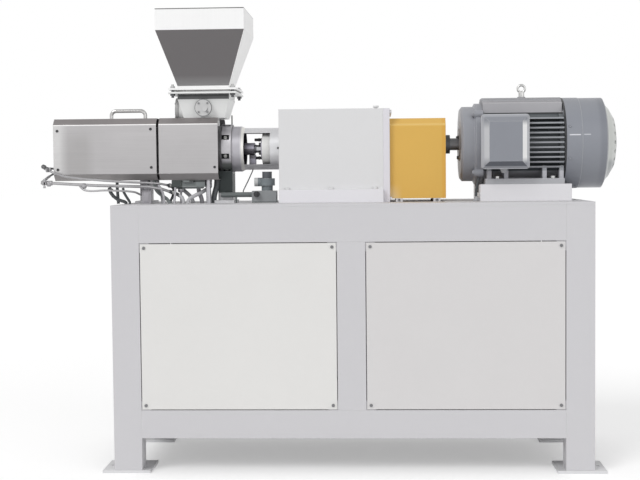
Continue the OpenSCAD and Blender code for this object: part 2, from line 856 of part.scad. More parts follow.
// Lantern between the clamp and the gearbox, open at both sides
lantern_d = 157;
lantern_wall = 9;
lantern_flange_d = 170;
lantern_flange_t = 34;
lantern_cone_l = 12;
window_x0 = -403;
window_x1 = -305;
window_h = 116;
module lantern() color([0.72, 0.72, 0.72])
    difference() {
        union() {
            rod_x([ring_x1, gearbox_x0], lantern_d / 2, 0, screw_z);
            rod_x([ring_x1, ring_x1 + lantern_flange_t], lantern_flange_d / 2, 0, screw_z);
            turned_x([[lantern_d / 2 - cut, ring_x1 + lantern_flange_t - cut],
                [lantern_flange_d / 2, ring_x1 + lantern_flange_t - cut],
                [lantern_d / 2, ring_x1 + lantern_flange_t + lantern_cone_l],
                [lantern_d / 2 - cut, ring_x1 + lantern_flange_t + lantern_cone_l]], screw_z);
        }
        rod_x([ring_x1 - cut, gearbox_x0 + cut], lantern_d / 2 - lantern_wall, 0, screw_z);
        box([window_x0, window_x1], [-lantern_d, lantern_d],
            square_z(window_h));
    }

module seal_housing() color([0.80, 0.80, 0.78])
    difference() {
        rod_x([gearbox_x0 - seal_l, gearbox_x0], seal_d / 2, 0, screw_z);
        twin_rods([gearbox_x0 - seal_l - cut, gearbox_x0 + cut], output_d / 2 + run_clear);
    }

// Gear teeth: involute flanks, cut thin by the backlash
function inv_turn(rb, r) = r <= rb ? 0 : sqrt(pow(r / rb, 2) - 1) * 180 / PI - acos(rb / r);
function tooth_half(z, r) =
    let (rp = gear_m * z / 2, rb = rp * cos(20), thin = backlash / rp * 180 / PI)
    90 / z - thin + inv_turn(rb, rp) - inv_turn(rb, r);
function gear_radii(z) =
    let (rp = gear_m * z / 2)
    [rp - dedendum_share * gear_m, rp, rp + addendum_share * gear_m];
function gear_outline(z) =
    [for (k = [0:z - 1]) each
        let (radii = gear_radii(z))
        concat([for (r = radii) let (a = 360 * k / z - tooth_half(z, r)) r * [cos(a), sin(a)]],
            [for (i = [2:-1:0]) let (r = radii[i], a = 360 * k / z + tooth_half(z, r))
                r * [cos(a), sin(a)]])];

// A gear on a line along X, turned by a first angle so that it meshes at rest
module gear(z, x, y, gz, turn)
    profile_x(x, y, gz, turn)
        polygon(gear_outline(z));

// Angles of the lines between the gear centres, about +X from +Y towards +Z
to_left_a = atan2(lay_drop, -screw_gap_y / 2);
to_right_a = atan2(lay_drop, screw_gap_y / 2);
lay_turn = 90;
function mesh_turn(z1, turn1, z2, line_a) =
    line_a + 180 + 180 / z2 - (turn1 - line_a) * z1 / z2;
input_turn = mesh_turn(lay_teeth, lay_turn, input_teeth, 90);
left_drive_turn = to_left_a;
right_drive_turn = to_right_a;
output_left_turn = mesh_turn(drive_teeth, left_drive_turn, output_teeth, to_left_a);
output_right_turn = mesh_turn(drive_teeth, right_drive_turn, output_teeth, to_right_a);

output_x1 = web1_x + web_t;
lay_x0 = gearbox_x0 + front_wall_t - bearing_w;
lay_x1 = casing_x1 + bearing_w * 0.75;
input_x0 = web2_x;
input_x1 = 205;

module output_shaft(s, gear_x, turn) {
    screw_rod(s, [output_x0, output_x1], output_d / 2);
    gear(output_teeth, [gear_x, gear_x + gear_face], s * screw_gap_y / 2, screw_z, turn);
}

module output_shaft_left() color([0.66, 0.67, 0.70])
    output_shaft(-1, left_gear_x, output_left_turn);

module output_shaft_right() color([0.66, 0.67, 0.70])
    output_shaft(1, right_gear_x, output_right_turn);

module layshaft() color([0.60, 0.61, 0.64]) {
    rod_x([lay_x0, lay_x1], lay_d / 2, 0, lay_z);
    gear(drive_teeth, [left_gear_x, left_gear_x + gear_face], 0, lay_z, left_drive_turn);
    gear(drive_teeth, [right_gear_x, right_gear_x + gear_face], 0, lay_z, right_drive_turn);
    gear(lay_teeth, [input_gear_x, input_gear_x + lay_gear_face], 0, lay_z, lay_turn);
}

module input_shaft() color([0.66, 0.67, 0.70]) {
    rod_x([input_x0, input_x1], input_d / 2, 0, motor_z);
    gear(input_teeth, [input_gear_x, input_gear_x + lay_gear_face], 0, motor_z, input_turn);
}

// Bearings: outer radius, place and width of each
output_ring_r = output_d / 2 + bearing_ring_t;
lay_ring_r = lay_d / 2 + lay_ring_t;
input_ring_r = input_d / 2 + input_ring_t;
front_bearing_x = gearbox_x0 + front_wall_t - bearing_w;
cover_bearing_w = end_cover_t * 0.75;

module gearbox_bearings() color([0.72, 0.73, 0.75]) {
    for (s = [-1, 1])
        for (x = [front_bearing_x, web1_x])
            ring_x([x, x + bearing_w], output_ring_r, output_d / 2 + run_clear,
                s * screw_gap_y / 2, screw_z);
    ring_x([front_bearing_x, front_bearing_x + bearing_w], lay_ring_r, lay_d / 2 + run_clear, 0, lay_z);
    ring_x([casing_x1, casing_x1 + cover_bearing_w], lay_ring_r, lay_d / 2 + run_clear, 0, lay_z);
    ring_x([web2_x, web2_x + bearing_w], input_ring_r, input_d / 2 + run_clear, 0, motor_z);
    ring_x([casing_x1, casing_x1 + cover_bearing_w], input_ring_r, input_d / 2 + run_clear, 0, motor_z);
}

gearbox_top = table_h + gearbox_h;
gearbox_foot_bolts = [0.08, 0.5, 0.92];
foot_bolt_in_y = gearbox_w / 2 + foot_strip_reach / 2;
module gearbox_foot_spots()
    for (k = gearbox_foot_bolts)
        for (s = [-1, 1])
            translate([gearbox_x0 + k * (gearbox_l - end_cover_t), s * foot_bolt_in_y, 0])
                children();

cover_bolt_d = 8;
cover_bolt_in = 12;
module cover_bolt_spots()
    for (y = [-1, 0, 1])
        for (z = [-1, 1])
            translate([0, y * (gearbox_w / 2 - cover_bolt_in),
                (table_h + gearbox_top) / 2 + z * (gearbox_h / 2 - cover_bolt_in)])
                children();

shaft_hole_gap = 1;
cover_bolt_l = 20;
thread_room = 2;
module gearbox_casing() color([0.82, 0.82, 0.83])
    difference() {
        union() {
            difference() {
                box([gearbox_x0, casing_x1], square_y(gearbox_w), [table_h, gearbox_top]);
                box([gearbox_x0 + front_wall_t, casing_x1 + cut],
                    square_y(gearbox_w - 2 * casing_t),
                    [table_h + casing_t, gearbox_top - casing_t]);
            }
            box([gearbox_x0, casing_x1], square_y(gearbox_w + 2 * foot_strip_reach),
                [table_h, table_h + foot_strip_h]);
            for (x = [web1_x, web2_x])
                box([x, x + web_t], square_y(gearbox_w - casing_t),
                    [table_h + casing_t / 2, gearbox_top - casing_t / 2]);
        }
        twin_rods([gearbox_x0 - cut, front_bearing_x + cut], output_d / 2 + shaft_hole_gap);
        twin_rods([front_bearing_x, gearbox_x0 + front_wall_t + cut], output_ring_r);
        twin_rods([web1_x - cut, web1_x + web_t + cut], output_ring_r);
        rod_x([front_bearing_x, gearbox_x0 + front_wall_t + cut], lay_ring_r, 0, lay_z);
        rod_x([web1_x - cut, web2_x + web_t + cut], lay_ring_r, 0, lay_z);
        rod_x([web2_x - cut, web2_x + web_t + cut], input_ring_r, 0, motor_z);
        gearbox_foot_spots()
            rod_z([table_h - cut, table_h + foot_strip_h + cut], gearbox_bolt_d / 2 + bolt_clear, 0, 0);
        cover_bolt_spots()
            rod_x([casing_x1 - cover_bolt_l - thread_room, casing_x1 + cut], cover_bolt_d / 2 + bolt_clear);
    }

module gearbox_cover() color([0.80, 0.80, 0.81])
    difference() {
        box([casing_x1, gearbox_x1], square_y(gearbox_w), [table_h, gearbox_top]);
        rod_x([casing_x1 - cut, casing_x1 + cover_bearing_w], lay_ring_r, 0, lay_z);
        rod_x([casing_x1 - cut, casing_x1 + cover_bearing_w], input_ring_r, 0, motor_z);
        rod_x([casing_x1 - cut, gearbox_x1 + cut], input_d / 2 + shaft_hole_gap, 0, motor_z);
        cover_bolt_spots()
            rod_x([casing_x1 - cut, gearbox_x1 + cut], cover_bolt_d / 2 + bolt_clear);
    }

module gearbox_bolts() color([0.55, 0.55, 0.56]) {
    r = gearbox_bolt_d / 2;
    gearbox_foot_spots() {
        rod_z([table_h + seat_gap, table_h + foot_strip_h], r, 0, 0);
        hex_z([table_h + foot_strip_h, table_h + foot_strip_h + gearbox_bolt_d * 0.6],
            r * 1.7, 0, 0);
    }
    cover_bolt_spots() {
        rod_x([casing_x1 - cover_bolt_l, gearbox_x1], cover_bolt_d / 2);
        rod_x([gearbox_x1, gearbox_x1 + cover_bolt_d * 0.9], cover_bolt_d * 0.8);
    }
}

module coupling_sleeve(s)
    difference() {
        screw_rod(s, [sleeve_x0, sleeve_x0 + sleeve_l], sleeve_d / 2);
        screw_rod(s, [output_x0, sleeve_x0 + sleeve_l + cut], output_d / 2 + run_clear);
        screw_rod(s, [sleeve_x0 - cut, output_x0 + cut], screw_shaft_d / 2 + run_clear);
    }

module coupling_sleeve_left() color([0.60, 0.58, 0.66])
    coupling_sleeve(-1);

module coupling_sleeve_right() color([0.60, 0.58, 0.66])
    coupling_sleeve(1);

// Screws: a two-lobed profile that wipes itself, on a plain shaft
function arc(r, a0, a1, n) = [for (k = [0:n]) let (a = a0 + (a1 - a0) * k / n) r * [cos(a), sin(a)]];
function flank(k, n) =
    let (a = k * 180 + tip_a / 2, c = -tip_r * [cos(a + flank_a), sin(a + flank_a)],
        p = tip_r * [cos(a), sin(a)], q = (screw_gap_y - tip_r) * [cos(a + flank_a), sin(a + flank_a)],
        a0 = atan2(p[1] - c[1], p[0] - c[0]), a1 = atan2(q[1] - c[1], q[0] - c[0]),
        d = (a1 - a0 + 540) % 360 - 180)
    [for (i = [1:n - 1]) c + screw_gap_y * [cos(a0 + d * i / n), sin(a0 + d * i / n)]];
function mirrored(points) = [for (i = [len(points) - 1:-1:0]) [points[i][0], -points[i][1]]];
function turn2(p, a) = [p[0] * cos(a) - p[1] * sin(a), p[0] * sin(a) + p[1] * cos(a)];
function half_lobe() = concat([tip_r * [cos(tip_a / 2), sin(tip_a / 2)]], flank(0, 3),
    [(screw_gap_y - tip_r) * [cos(90 - tip_a / 2), sin(90 - tip_a / 2)]]);
function lobe() = concat(mirrored(half_lobe()), half_lobe());
function shrunk(p) = p * (norm(p) - screw_clear) / norm(p);
function profile() = [for (k = [0, 180]) each [for (p = lobe()) shrunk(turn2(p, k))]];

module flight(x0, x1, lead, y, phase)
    translate([x0, y, screw_z])
        rotate([phase, 0, 0])
            rotate(rotate_ops)
                linear_extrude(x1 - x0, twist = -360 * (x1 - x0) / lead,
                    slices = ceil(slice_turn * (x1 - x0) / lead), $fn = len(profile()))
                    polygon(profile());

module kneading(x1, y, phase)
    for (k = [0:disc_n - 1])
        profile_x([x1 - (k + 1) * disc_t, x1 - k * disc_t], y, screw_z, phase - k * disc_stagger)
            polygon(profile());

module bored(s)
    difference() {
        union()
            children();
        screw_rod(s, [elements_x0 - cut, elements_x1 + cut], screw_shaft_d / 2 + run_clear);
    }

module screw_elements(s, phase) {
    y = s * screw_gap_y / 2;
    bored(s) {
        flight(knead1_x, elements_x1, feed_lead, y, phase);
        flight(knead2_x, knead1_x - disc_n * disc_t, meter_lead, y, phase);
        flight(elements_x0, knead2_x - disc_n * disc_t, meter_lead, y, phase);
    }
    bored(s) {
        kneading(knead1_x, y, phase);
        kneading(knead2_x, y, phase);
    }
}

module screw_elements_left() color([0.74, 0.74, 0.76])
    screw_elements(-1, 0);

module screw_elements_right() color([0.70, 0.70, 0.73])
    screw_elements(1, 90);

module screw_shaft(s) {
    screw_rod(s, [screw_x0, output_x0 - seat_gap], screw_shaft_d / 2);
    screw_rod(s, [screw_x0 - tip_nut_t, screw_x0], screw_shaft_d * 0.6);
}

module screw_shaft_left() color([0.50, 0.50, 0.53])
    screw_shaft(-1);

module screw_shaft_right() color([0.50, 0.50, 0.53])
    screw_shaft(1);

// Motor
module motor_rod(x, r)
    rod_x(x, r, 0, motor_z);

fins_each_side = 5;
top_fins = 5;
top_fin_pitch = 19.2;
top_fin_more = 8;
top_fin_r = motor_d / 2 + top_fin_more;
low_fins = 3;
fin_end = 4;
fin_x = [frame_x0 + fin_t, frame_x1 - fin_end];
function fin_at(k, pitch) = [k * pitch - fin_t / 2, k * pitch + fin_t / 2];
module motor_fins()
    intersection() {
        union() {
            for (k = [-fins_each_side:fins_each_side])
                translate([0, 0, motor_z])
                    box(fin_x, square_y(motor_d), fin_at(k, fin_pitch));
            for (k = [-top_fins:top_fins])
                box([frame_x0, fin_x[1]], fin_at(k, top_fin_pitch), [motor_z, motor_z + motor_d / 2]);
            for (k = [-low_fins:low_fins])
                box(fin_x, fin_at(k, top_fin_pitch), [motor_z - motor_d / 2 + fin_end, motor_z]);
        }
        motor_rod([frame_x0, frame_x1], top_fin_r);
        difference() {
            box([frame_x0, frame_x1], square_y(motor_d - fin_end),
                [motor_z - motor_d / 2, motor_z + motor_d]);
            box([frame_x0 - cut, box_x + box_w / 2 + fin_t], [-motor_d, -box_base_y],
                [box_z - box_h / 2 - fin_t, box_z + box_h / 2 + fin_t]);
        }
    }

module motor_feet()
    mirror_y() {
        box([foot_pad_x0, foot_pad_x1], [-plinth_y1 + foot_pad_in, -plinth_y0 - foot_pad_in],
            [plinth_top, plinth_top + foot_pad_h]);
        for (x = foot_webs)
            box([x - foot_web_t / 2, x + foot_web_t / 2],
                [-plinth_y1 + 3 * foot_pad_in, -plinth_y0 - foot_pad_in],
                [plinth_top, motor_z - motor_core_d * 0.3]);
    }

box_neck_in = 60;
rear_ring_t = 16;
boss_r = 15;
boss_h = 5;
eyebolt_l = 10;
boss_z = motor_z + motor_d / 2 + boss_h;
eyebolt_z = boss_z + eyebolt_rise;
module motor_frame() color([0.50, 0.52, 0.56])
    difference() {
        union() {
            motor_rod([frame_x0, frame_x1], motor_core_d / 2);
            motor_fins();
            motor_rod([frame_x1 - rear_ring_t, frame_x1], shield_ring_d / 2);
            motor_feet();
            box([frame_x0 + fin_t, box_x + box_w / 2 - fin_t], [-box_base_y, -box_neck_in],
                [box_z - box_h / 2 + fin_t, box_z + box_h / 2 - fin_t]);
            rod_z([motor_z + motor_core_d / 2, boss_z], boss_r, eyebolt_x, 0);
        }
        motor_rod([frame_x0 - cut, frame_x1 + cut], frame_bore_d / 2);
        for (x = foot_bolts)
            for (s = [-1, 1])
                rod_z([plinth_top - cut, plinth_top + foot_pad_h + cut], foot_bolt_d / 2 + bolt_clear,
                    x, s * foot_bolt_y);
        rod_z([motor_z + motor_d / 2 - eyebolt_l - thread_room, motor_z + motor_d],
            eyebolt_wire + bolt_clear, eyebolt_x, 0);
    }

module stator_core() color([0.35, 0.33, 0.32])
    ring_x([core_x0, core_x0 + core_l], frame_bore_d / 2 - run_clear, stator_bore_d / 2, 0, motor_z);

module rotor_core() color([0.60, 0.60, 0.62])
    ring_x([core_x0, core_x0 + core_l], rotor_d / 2, motor_shaft_d / 2 + shaft_step, 0, motor_z);

bearing_room = 34;
bearing_gap = 1;
bearing_x0 = frame_x0 - bearing_room;
rear_bearing_x = frame_x1 + bearing_gap;
motor_bearing_w = 22;
shaft_step = 4;
shaft_gap = 6;
module motor_shaft() color([0.40, 0.41, 0.43]) {
    motor_rod([shaft_x0, bearing_x0 + cut], motor_shaft_d / 2);
    motor_rod([bearing_x0 + cut, rear_bearing_x + motor_bearing_w],
        motor_shaft_d / 2 + shaft_step - run_clear);
    motor_rod([rear_bearing_x + motor_bearing_w, shaft_x1], motor_shaft_d / 2 - shaft_step);
}

module motor_bearings() color([0.74, 0.75, 0.77])
    for (x = [bearing_x0, rear_bearing_x])
        ring_x([x, x + motor_bearing_w], motor_bearing_d / 2, motor_shaft_d / 2 + shaft_step, 0, motor_z);

shield_round = 10;
shield_edge = 6;
shield_dish = 2;
shield_lug_r = 15;
module drive_end_shield() color([0.50, 0.52, 0.56])
    difference() {
        union() {
            turned_x([[0, bearing_cap_x], [bearing_cap_d / 2 - shield_edge, bearing_cap_x],
                [bearing_cap_d / 2, bearing_cap_x + 2 * shield_dish],
                [shield_d / 2 - shield_round, shield_x0 - shield_dish],
                [shield_d / 2, shield_x0 + shield_edge], [shield_d / 2, shield_x1],
                [shield_ring_d / 2, shield_x1 + shield_edge], [shield_ring_d / 2, frame_x0],
                [0, frame_x0]], motor_z);
            for (a = [45:90:315])
                motor_turn(a)
                    rod_x([shield_x1, frame_x0], shield_lug_r, 0, shield_ring_d / 2);
        }
        motor_rod([bearing_cap_x - cut, bearing_x0 + cut], motor_shaft_d / 2 + shaft_hole_gap);
        motor_rod([bearing_x0, bearing_x0 + motor_bearing_w], motor_bearing_d / 2 + run_clear);
        motor_rod([bearing_x0 + motor_bearing_w - cut, frame_x0 + cut], frame_bore_d / 2 - shield_round);
    }

rear_shield_t = 26;
rear_lug_w = 30;
rear_room = 19.5;
fan_inner_r = motor_d / 2 - fan_sheet_t - fan_step;
module rear_end_shield() color([0.46, 0.48, 0.52])
    difference() {
        union() {
            motor_rod([frame_x1, frame_x1 + rear_shield_t], fan_inner_r - rear_room);
            intersection() {
                motor_rod([frame_x1, frame_x1 + rear_shield_t], fan_inner_r - seat_gap);
                for (a = [45:90:315])
                    motor_turn(a)
                        box([frame_x1, frame_x1 + rear_shield_t], square_y(rear_lug_w),
                                [motor_core_d / 2, motor_d]);
            }
        }
        motor_rod([frame_x1 - cut, frame_x1 + rear_shield_t + cut], motor_shaft_d / 2 + shaft_gap);
        motor_rod([frame_x1 - cut, rear_bearing_x + motor_bearing_w], motor_bearing_d / 2 + run_clear);
    }

fan_hub_r = 26;
fan_l = 34;
fan_disc_t = 4;
module cooling_fan() color([0.20, 0.21, 0.22])
    difference() {
        union() {
            motor_rod([fan_x, fan_x + fan_l], fan_hub_r);
            motor_rod([fan_x, fan_x + fan_disc_t], fan_d / 2);
            for (k = [0:fan_vane_n - 1])
                motor_turn(k * 360 / fan_vane_n)
                    box([fan_x, fan_x + fan_l], square_y(fan_disc_t), [fan_hub_r - cut, fan_d / 2]);
        }
        motor_rod([fan_x - cut, fan_x + fan_l + cut], motor_shaft_d / 2 - shaft_step + run_clear);
    }

// Fan cover: a straight sleeve, a small step at the seam, a bevel and a shallow dished end
fan_seam_l = 62;
fan_seam_x = frame_x1 + fan_seam_l;
fan_bevel = 12;
fan_dome_l = 53;
fan_rim = 26;
fan_bevel_x = fan_end_x + fan_bevel;
fan_dome_x = fan_end_x + fan_dome_l;
grille_hole_r = 7;
// Radius and depth of the dome's points, and radius and number of the holes of each ring
dome_shares = [[0.31, 0], [0.57, 0.22], [0.76, 0.68]];
grille_shares = [[0.25, 8], [0.43, 14], [0.61, 20]];
function dome(in) = [for (s = dome_shares)
    [s[0] * motor_d / 2 - in, fan_dome_x - s[1] * (fan_dome_l - fan_bevel) - in]];
module fan_cover() color([0.48, 0.50, 0.54])
    difference() {
        turned_x(concat([[0, fan_dome_x]], dome(0),
            [[motor_d / 2 - fan_rim, fan_bevel_x], [motor_d / 2 - fan_step, fan_end_x],
            [motor_d / 2 - fan_step, fan_seam_x], [motor_d / 2, fan_seam_x], [motor_d / 2, frame_x1],
            [motor_d / 2 - fan_sheet_t - fan_step, frame_x1],
            [motor_d / 2 - fan_sheet_t - fan_step, fan_end_x - fan_step],
            [motor_d / 2 - fan_rim - fan_sheet_t, fan_bevel_x - fan_sheet_t]],
            [for (k = [len(dome_shares) - 1:-1:0]) dome(fan_sheet_t)[k]],
            [[0, fan_dome_x - fan_sheet_t]]), motor_z);
        for (g = grille_shares)
            for (k = [0:g[1] - 1])
                motor_turn(k * 360 / g[1])
                    rod_x([fan_end_x, fan_dome_x + cut], grille_hole_r, 0, g[0] * motor_d / 2);
    }

module box_block(y, in)
    box([box_x - box_w / 2 + in, box_x + box_w / 2 - in], y,
        [box_z - box_h / 2 + in, box_z + box_h / 2 - in]);

module terminal_box() color([0.50, 0.52, 0.56])
    difference() {
        box_block([-box_y0, -box_base_y], 0);
        box_block([-box_y0 - cut, -box_base_y - box_wall], box_wall);
    }

module terminal_lid() color([0.52, 0.54, 0.58])
    difference() {
        hull() {
            box_block([-box_y0 - box_rim_t, -box_y0], 0);
            box_block([-box_y1, -box_y1 + cut], box_bevel);
        }
        box_block([-box_y1 + box_wall, -box_y0 + cut], box_bevel);
    }

module eyebolt() color([0.62, 0.63, 0.65]) {
    translate([eyebolt_x, 0, eyebolt_z])
        rotate([90, 0, 0])
            rotate_extrude()
                translate([eyebolt_r, 0])
                    circle(r = eyebolt_wire, $fn = 24);
    rod_z([boss_z, eyebolt_z - eyebolt_r], eyebolt_collar_r, eyebolt_x, 0);
    rod_z([motor_z + motor_d / 2 - eyebolt_l, boss_z + cut], eyebolt_wire, eyebolt_x, 0);
}

module motor_plinth() color([0.81, 0.81, 0.82])
    difference() {
        union() {
            mirror_y()
                box([plinth_x0, plinth_x1], [-plinth_y1, -plinth_y0], [table_h, plinth_top]);
            for (x = [plinth_x0, plinth_x1 - plinth_tie_w])
                box([x, x + plinth_tie_w], square_y(2 * (plinth_y0 + cut)),
                    [table_h, table_h + plinth_tie_h]);
        }
        for (x = foot_bolts)
            for (s = [-1, 1])
                rod_z([table_h - cut, plinth_top + cut], foot_bolt_d / 2 + bolt_clear, x, s * foot_bolt_y);
    }

module motor_bolts() color([0.55, 0.55, 0.57])
    for (x = foot_bolts)
        for (s = [-1, 1])
            translate([x, s * foot_bolt_y, 0]) {
                z1 = plinth_top + foot_pad_h;
                rod_z([plinth_top - foot_bolt_l, z1], foot_bolt_d / 2, 0, 0);
                hex_z([z1, z1 + foot_bolt_head_t], foot_bolt_d * 0.8, 0, 0);
            }

// Shaft coupling: two clawed hubs and the star between them
hub_d = 70;
hub_gap = 20;
hub_mid = 235;
hub_room = 10;
hub_out = 21;
hub_x0 = gearbox_x1 + hub_room;
hub_x1 = guard_x1 + hub_out;
hub_half = hub_gap / 2;
claw_n = 3;
claw_a = 44;
claw_r = 15;
claw_out_r = 34.4;
module claws(x, a0)
    for (k = [0:claw_n - 1])
        profile_x(x, 0, motor_z, a0 + k * 120)
            polygon(concat(arc(claw_out_r, -claw_a / 2, claw_a / 2, 4),
                arc(claw_r, claw_a / 2, -claw_a / 2, 2)));

star_arm_a = 60 - claw_a - 1;
star_hub_r = 11.5;
module shaft_coupling() color([0.28, 0.29, 0.31]) {
    star_x = [hub_mid - hub_half + seat_gap, hub_mid + hub_half - seat_gap];
    motor_rod(star_x, star_hub_r);
    for (k = [0:2 * claw_n - 1])
        profile_x(star_x, 0, motor_z, 30 + k * 60)
            polygon(concat([[0, 0]], arc(claw_out_r, -star_arm_a / 2, star_arm_a / 2, 2)));
    difference() {
        union() {
            motor_rod([hub_x0, hub_mid - hub_half], hub_d / 2);
            claws([hub_mid - hub_half - cut, hub_mid + hub_half - seat_gap], 0);
        }
        motor_rod([hub_x0 - cut, hub_mid + hub_gap], input_d / 2 + run_clear);
    }
    difference() {
        union() {
            motor_rod([hub_mid + hub_half, hub_x1], hub_d / 2);
            claws([hub_mid - hub_half + seat_gap, hub_mid + hub_half + cut], 60);
        }
        motor_rod([hub_mid + hub_half - cut, hub_x1 + cut], motor_shaft_d / 2 + run_clear);
    }
}

module coupling_guard() color([0.84, 0.66, 0.28])
    difference() {
        union() {
            section_x([guard_x0, guard_x1], guard_shape(0, table_h + guard_gap));
            for (x = [guard_x0 + guard_tab_in, guard_x1 - guard_tab_in - guard_tab])
                mirror_y()
                    box([x, x + guard_tab], [-guard_w / 2, -guard_w / 2 + guard_t],
                        [table_h, table_h + guard_gap + cut]);
        }
        section_x([guard_x0 - cut, guard_x1 - guard_t], guard_shape(guard_t, table_h));
        rod_x([guard_x1 - 2 * guard_t, guard_x1 + cut], hub_d / 2 + guard_hole_gap, 0, motor_z);
    }
function guard_shape(in, z0) =
    let (w = guard_w / 2 - in, top = guard_top - in, f = guard_fold)
    [[-w, z0], [-w, top - f], [-w + f, top], [w - f, top], [w, top - f], [w, z0]];

// Feed throat, its port covers and the hopper
slice_t = 0.01;
module frustum(z0, w0, d0, z1, w1, d1)
    hull() {
        translate([feed_x, 0, z0])
            linear_extrude(slice_t)
                square([w0, d0], center = true);
        translate([feed_x, 0, z1 - slice_t])
            linear_extrude(slice_t)
                square([w1, d1], center = true);
    }

function feed_w(w) = [feed_x - w / 2, feed_x + w / 2];
module square_ring(z, w_out, d_out, w_in, d_in)
    difference() {
        box(feed_w(w_out), square_y(d_out), z);
        box(feed_w(w_in), square_y(d_in), [z[0] - cut, z[1] + cut]);
    }

module hopper_bolt_spots()
    for (x = [-1, 1])
        for (y = [-1, 1])
            translate([feed_x + x * (hopper_flange_w / 2 - hopper_bolt_edge),
                y * (hopper_flange_w / 2 - hopper_bolt_edge), 0])
                children();

module feed_throat() color([0.84, 0.84, 0.84])
    difference() {
        union() {
            frustum(throat_block_z, throat_low_w, throat_low_d,
                throat_top - hopper_flange_t - throat_neck_h, throat_top_w, throat_top_w);
            box([feed_x - throat_low_w / 2, barrel_x1 - round_flange_t - seat_gap],
                square_y(barrel_s), [throat_z0, throat_block_z + cut]);
            box(feed_w(throat_top_w), square_y(throat_top_w),
                [throat_top - hopper_flange_t - throat_neck_h - cut, throat_top - cut]);
            box(feed_w(hopper_flange_w), square_y(hopper_flange_w),
                [throat_top - hopper_flange_t, throat_top]);
            rod_y([-port_front_y, 0], port_front_d / 2 - port_rim, feed_x, port_z);
            rod_x([feed_x - port_side_x, feed_x], port_side_d / 2 - port_rim, 0, port_side_z);
        }
        frustum(throat_z0 + throat_mouth_h, throat_mouth_w, throat_mouth_d, throat_top - duct_rim_h,
            duct_w, duct_w);
        box(feed_w(throat_mouth_w), square_y(throat_mouth_d),
            [throat_z0 - cut, throat_z0 + throat_mouth_h + cut]);
        box(feed_w(duct_w), square_y(duct_w), [throat_top - duct_rim_h - cut, throat_top + cut]);
        hopper_bolt_spots()
            rod_z([throat_top - hopper_flange_t - cut, throat_top + cut],
                hopper_bolt_d / 2 + bolt_clear, 0, 0);
    }
duct_wall = 16;
duct_w = throat_top_w - 2 * duct_wall;
duct_rim_h = 10;
throat_mouth_h = 40;
port_front_y = 97;
port_side_x = 102;
port_side_drop = 6;
port_side_z = port_z - port_side_drop;
port_rim = 4;
port_cap_t = 8;
port_side_t = 12;
port_bolt_r = 4;
port_bolt_t = 3;

module port_covers() color([0.74, 0.74, 0.74]) {
    y = -port_front_y - port_cap_t;
    x = feed_x - port_side_x - port_side_t;
    rod_y([y, -port_front_y], port_front_d / 2, feed_x, port_z);
    rod_y([y - port_rim, y], port_front_d * 0.17, feed_x + port_side_drop, port_z - port_rim);
    rod_x([x, feed_x - port_side_x], port_side_d / 2, 0, port_side_z);
    for (a = [45:90:315]) {
        p = port_front_d * 0.36 * [cos(a), sin(a)];
        q = port_side_d * 0.38 * [cos(a), sin(a)];
        rod_y([y - port_bolt_t, y], port_bolt_r, feed_x + p[0], port_z + p[1]);
        rod_x([x - port_bolt_t, x], port_bolt_r, q[0], port_side_z + q[1]);
    }
}

module hopper() color([0.66, 0.65, 0.66]) {
    difference() {
        union() {
            frustum(slope_z0, outlet_w, outlet_w, slope_z1, hopper_w, hopper_d);
            square_ring([hopper_z0, slope_z0 + cut], outlet_w, outlet_w,
                outlet_w - 2 * hopper_t, outlet_w - 2 * hopper_t);
        }
        frustum(slope_z0 - cut, outlet_w - 2 * hopper_t, outlet_w - 2 * hopper_t, slope_z1 + 2 * slice_t,
            hopper_w - 2 * hopper_t, hopper_d - 2 * hopper_t);
    }
    square_ring([slope_z1 - cut, hopper_top], hopper_w, hopper_d, hopper_w - 2 * hopper_t,
        hopper_d - 2 * hopper_t);
    difference() {
        square_ring([hopper_z0, hopper_z0 + hopper_flange_t], hopper_flange_w, hopper_flange_w,
            outlet_w - 2 * hopper_t, outlet_w - 2 * hopper_t);
        hopper_bolt_spots()
            rod_z([hopper_z0 - cut, hopper_z0 + hopper_flange_t + cut],
                hopper_bolt_d / 2 + bolt_clear, 0, 0);
    }
}

hopper_nut_t = 7;
hopper_bolt_out = 14;
module hopper_bolts() color([0.35, 0.35, 0.37])
    hopper_bolt_spots() {
        r = hopper_bolt_d / 2;
        z0 = throat_top - hopper_flange_t;
        z1 = hopper_z0 + hopper_flange_t;
        rod_z([z0 - hopper_bolt_out, z1 + hopper_bolt_out], r, 0, 0);
        hex_z([z1, z1 + hopper_nut_t], r * 1.8, 0, 0);
        hex_z([z0 - hopper_nut_t, z0], r * 1.8, 0, 0);
    }

// Covers
function cover_shape(in) =
    let (w = cover_w / 2 - in, top = cover_top - in, f = cover_fold)
    [[-w, cover_z0 - in], [-w, top - f], [-w + f, top], [w - f, top], [w, top - f], [w, cover_z0 - in]];

module cover_sheet(x)
    difference() {
        section_x(x, cover_shape(0));
        translate([0, 0, -cut])
            section_x([x[0] - cut, x[1] + cut], [for (p = cover_shape(cover_t))
                p[1] > cover_z0 ? [p[0], p[1] + cut] : p]);
    }

module long_cover() color([0.72, 0.71, 0.71]) {
    cover_sheet([long_x0, long_x1]);
    for (x = hinge_xs)
        knuckle(x + hinge_third, x + 2 * hinge_third, 1);
}

module short_cover() color([0.72, 0.71, 0.71])
    difference() {
        cover_sheet([short_x0, cover_x1]);
        box([feed_x - throat_low_w / 2 - cover_t, feed_x + throat_low_w / 2 + cover_t],
            square_y(throat_low_d + 2 * cover_t), [cover_top - 3 * cover_t, cover_top + cut]);
        box([feed_x - port_side_x - 2 * port_cap_t, feed_x], square_y(port_side_d + 2 * port_cap_t),
            [cover_top - 3 * cover_t, cover_top + cut]);
    }

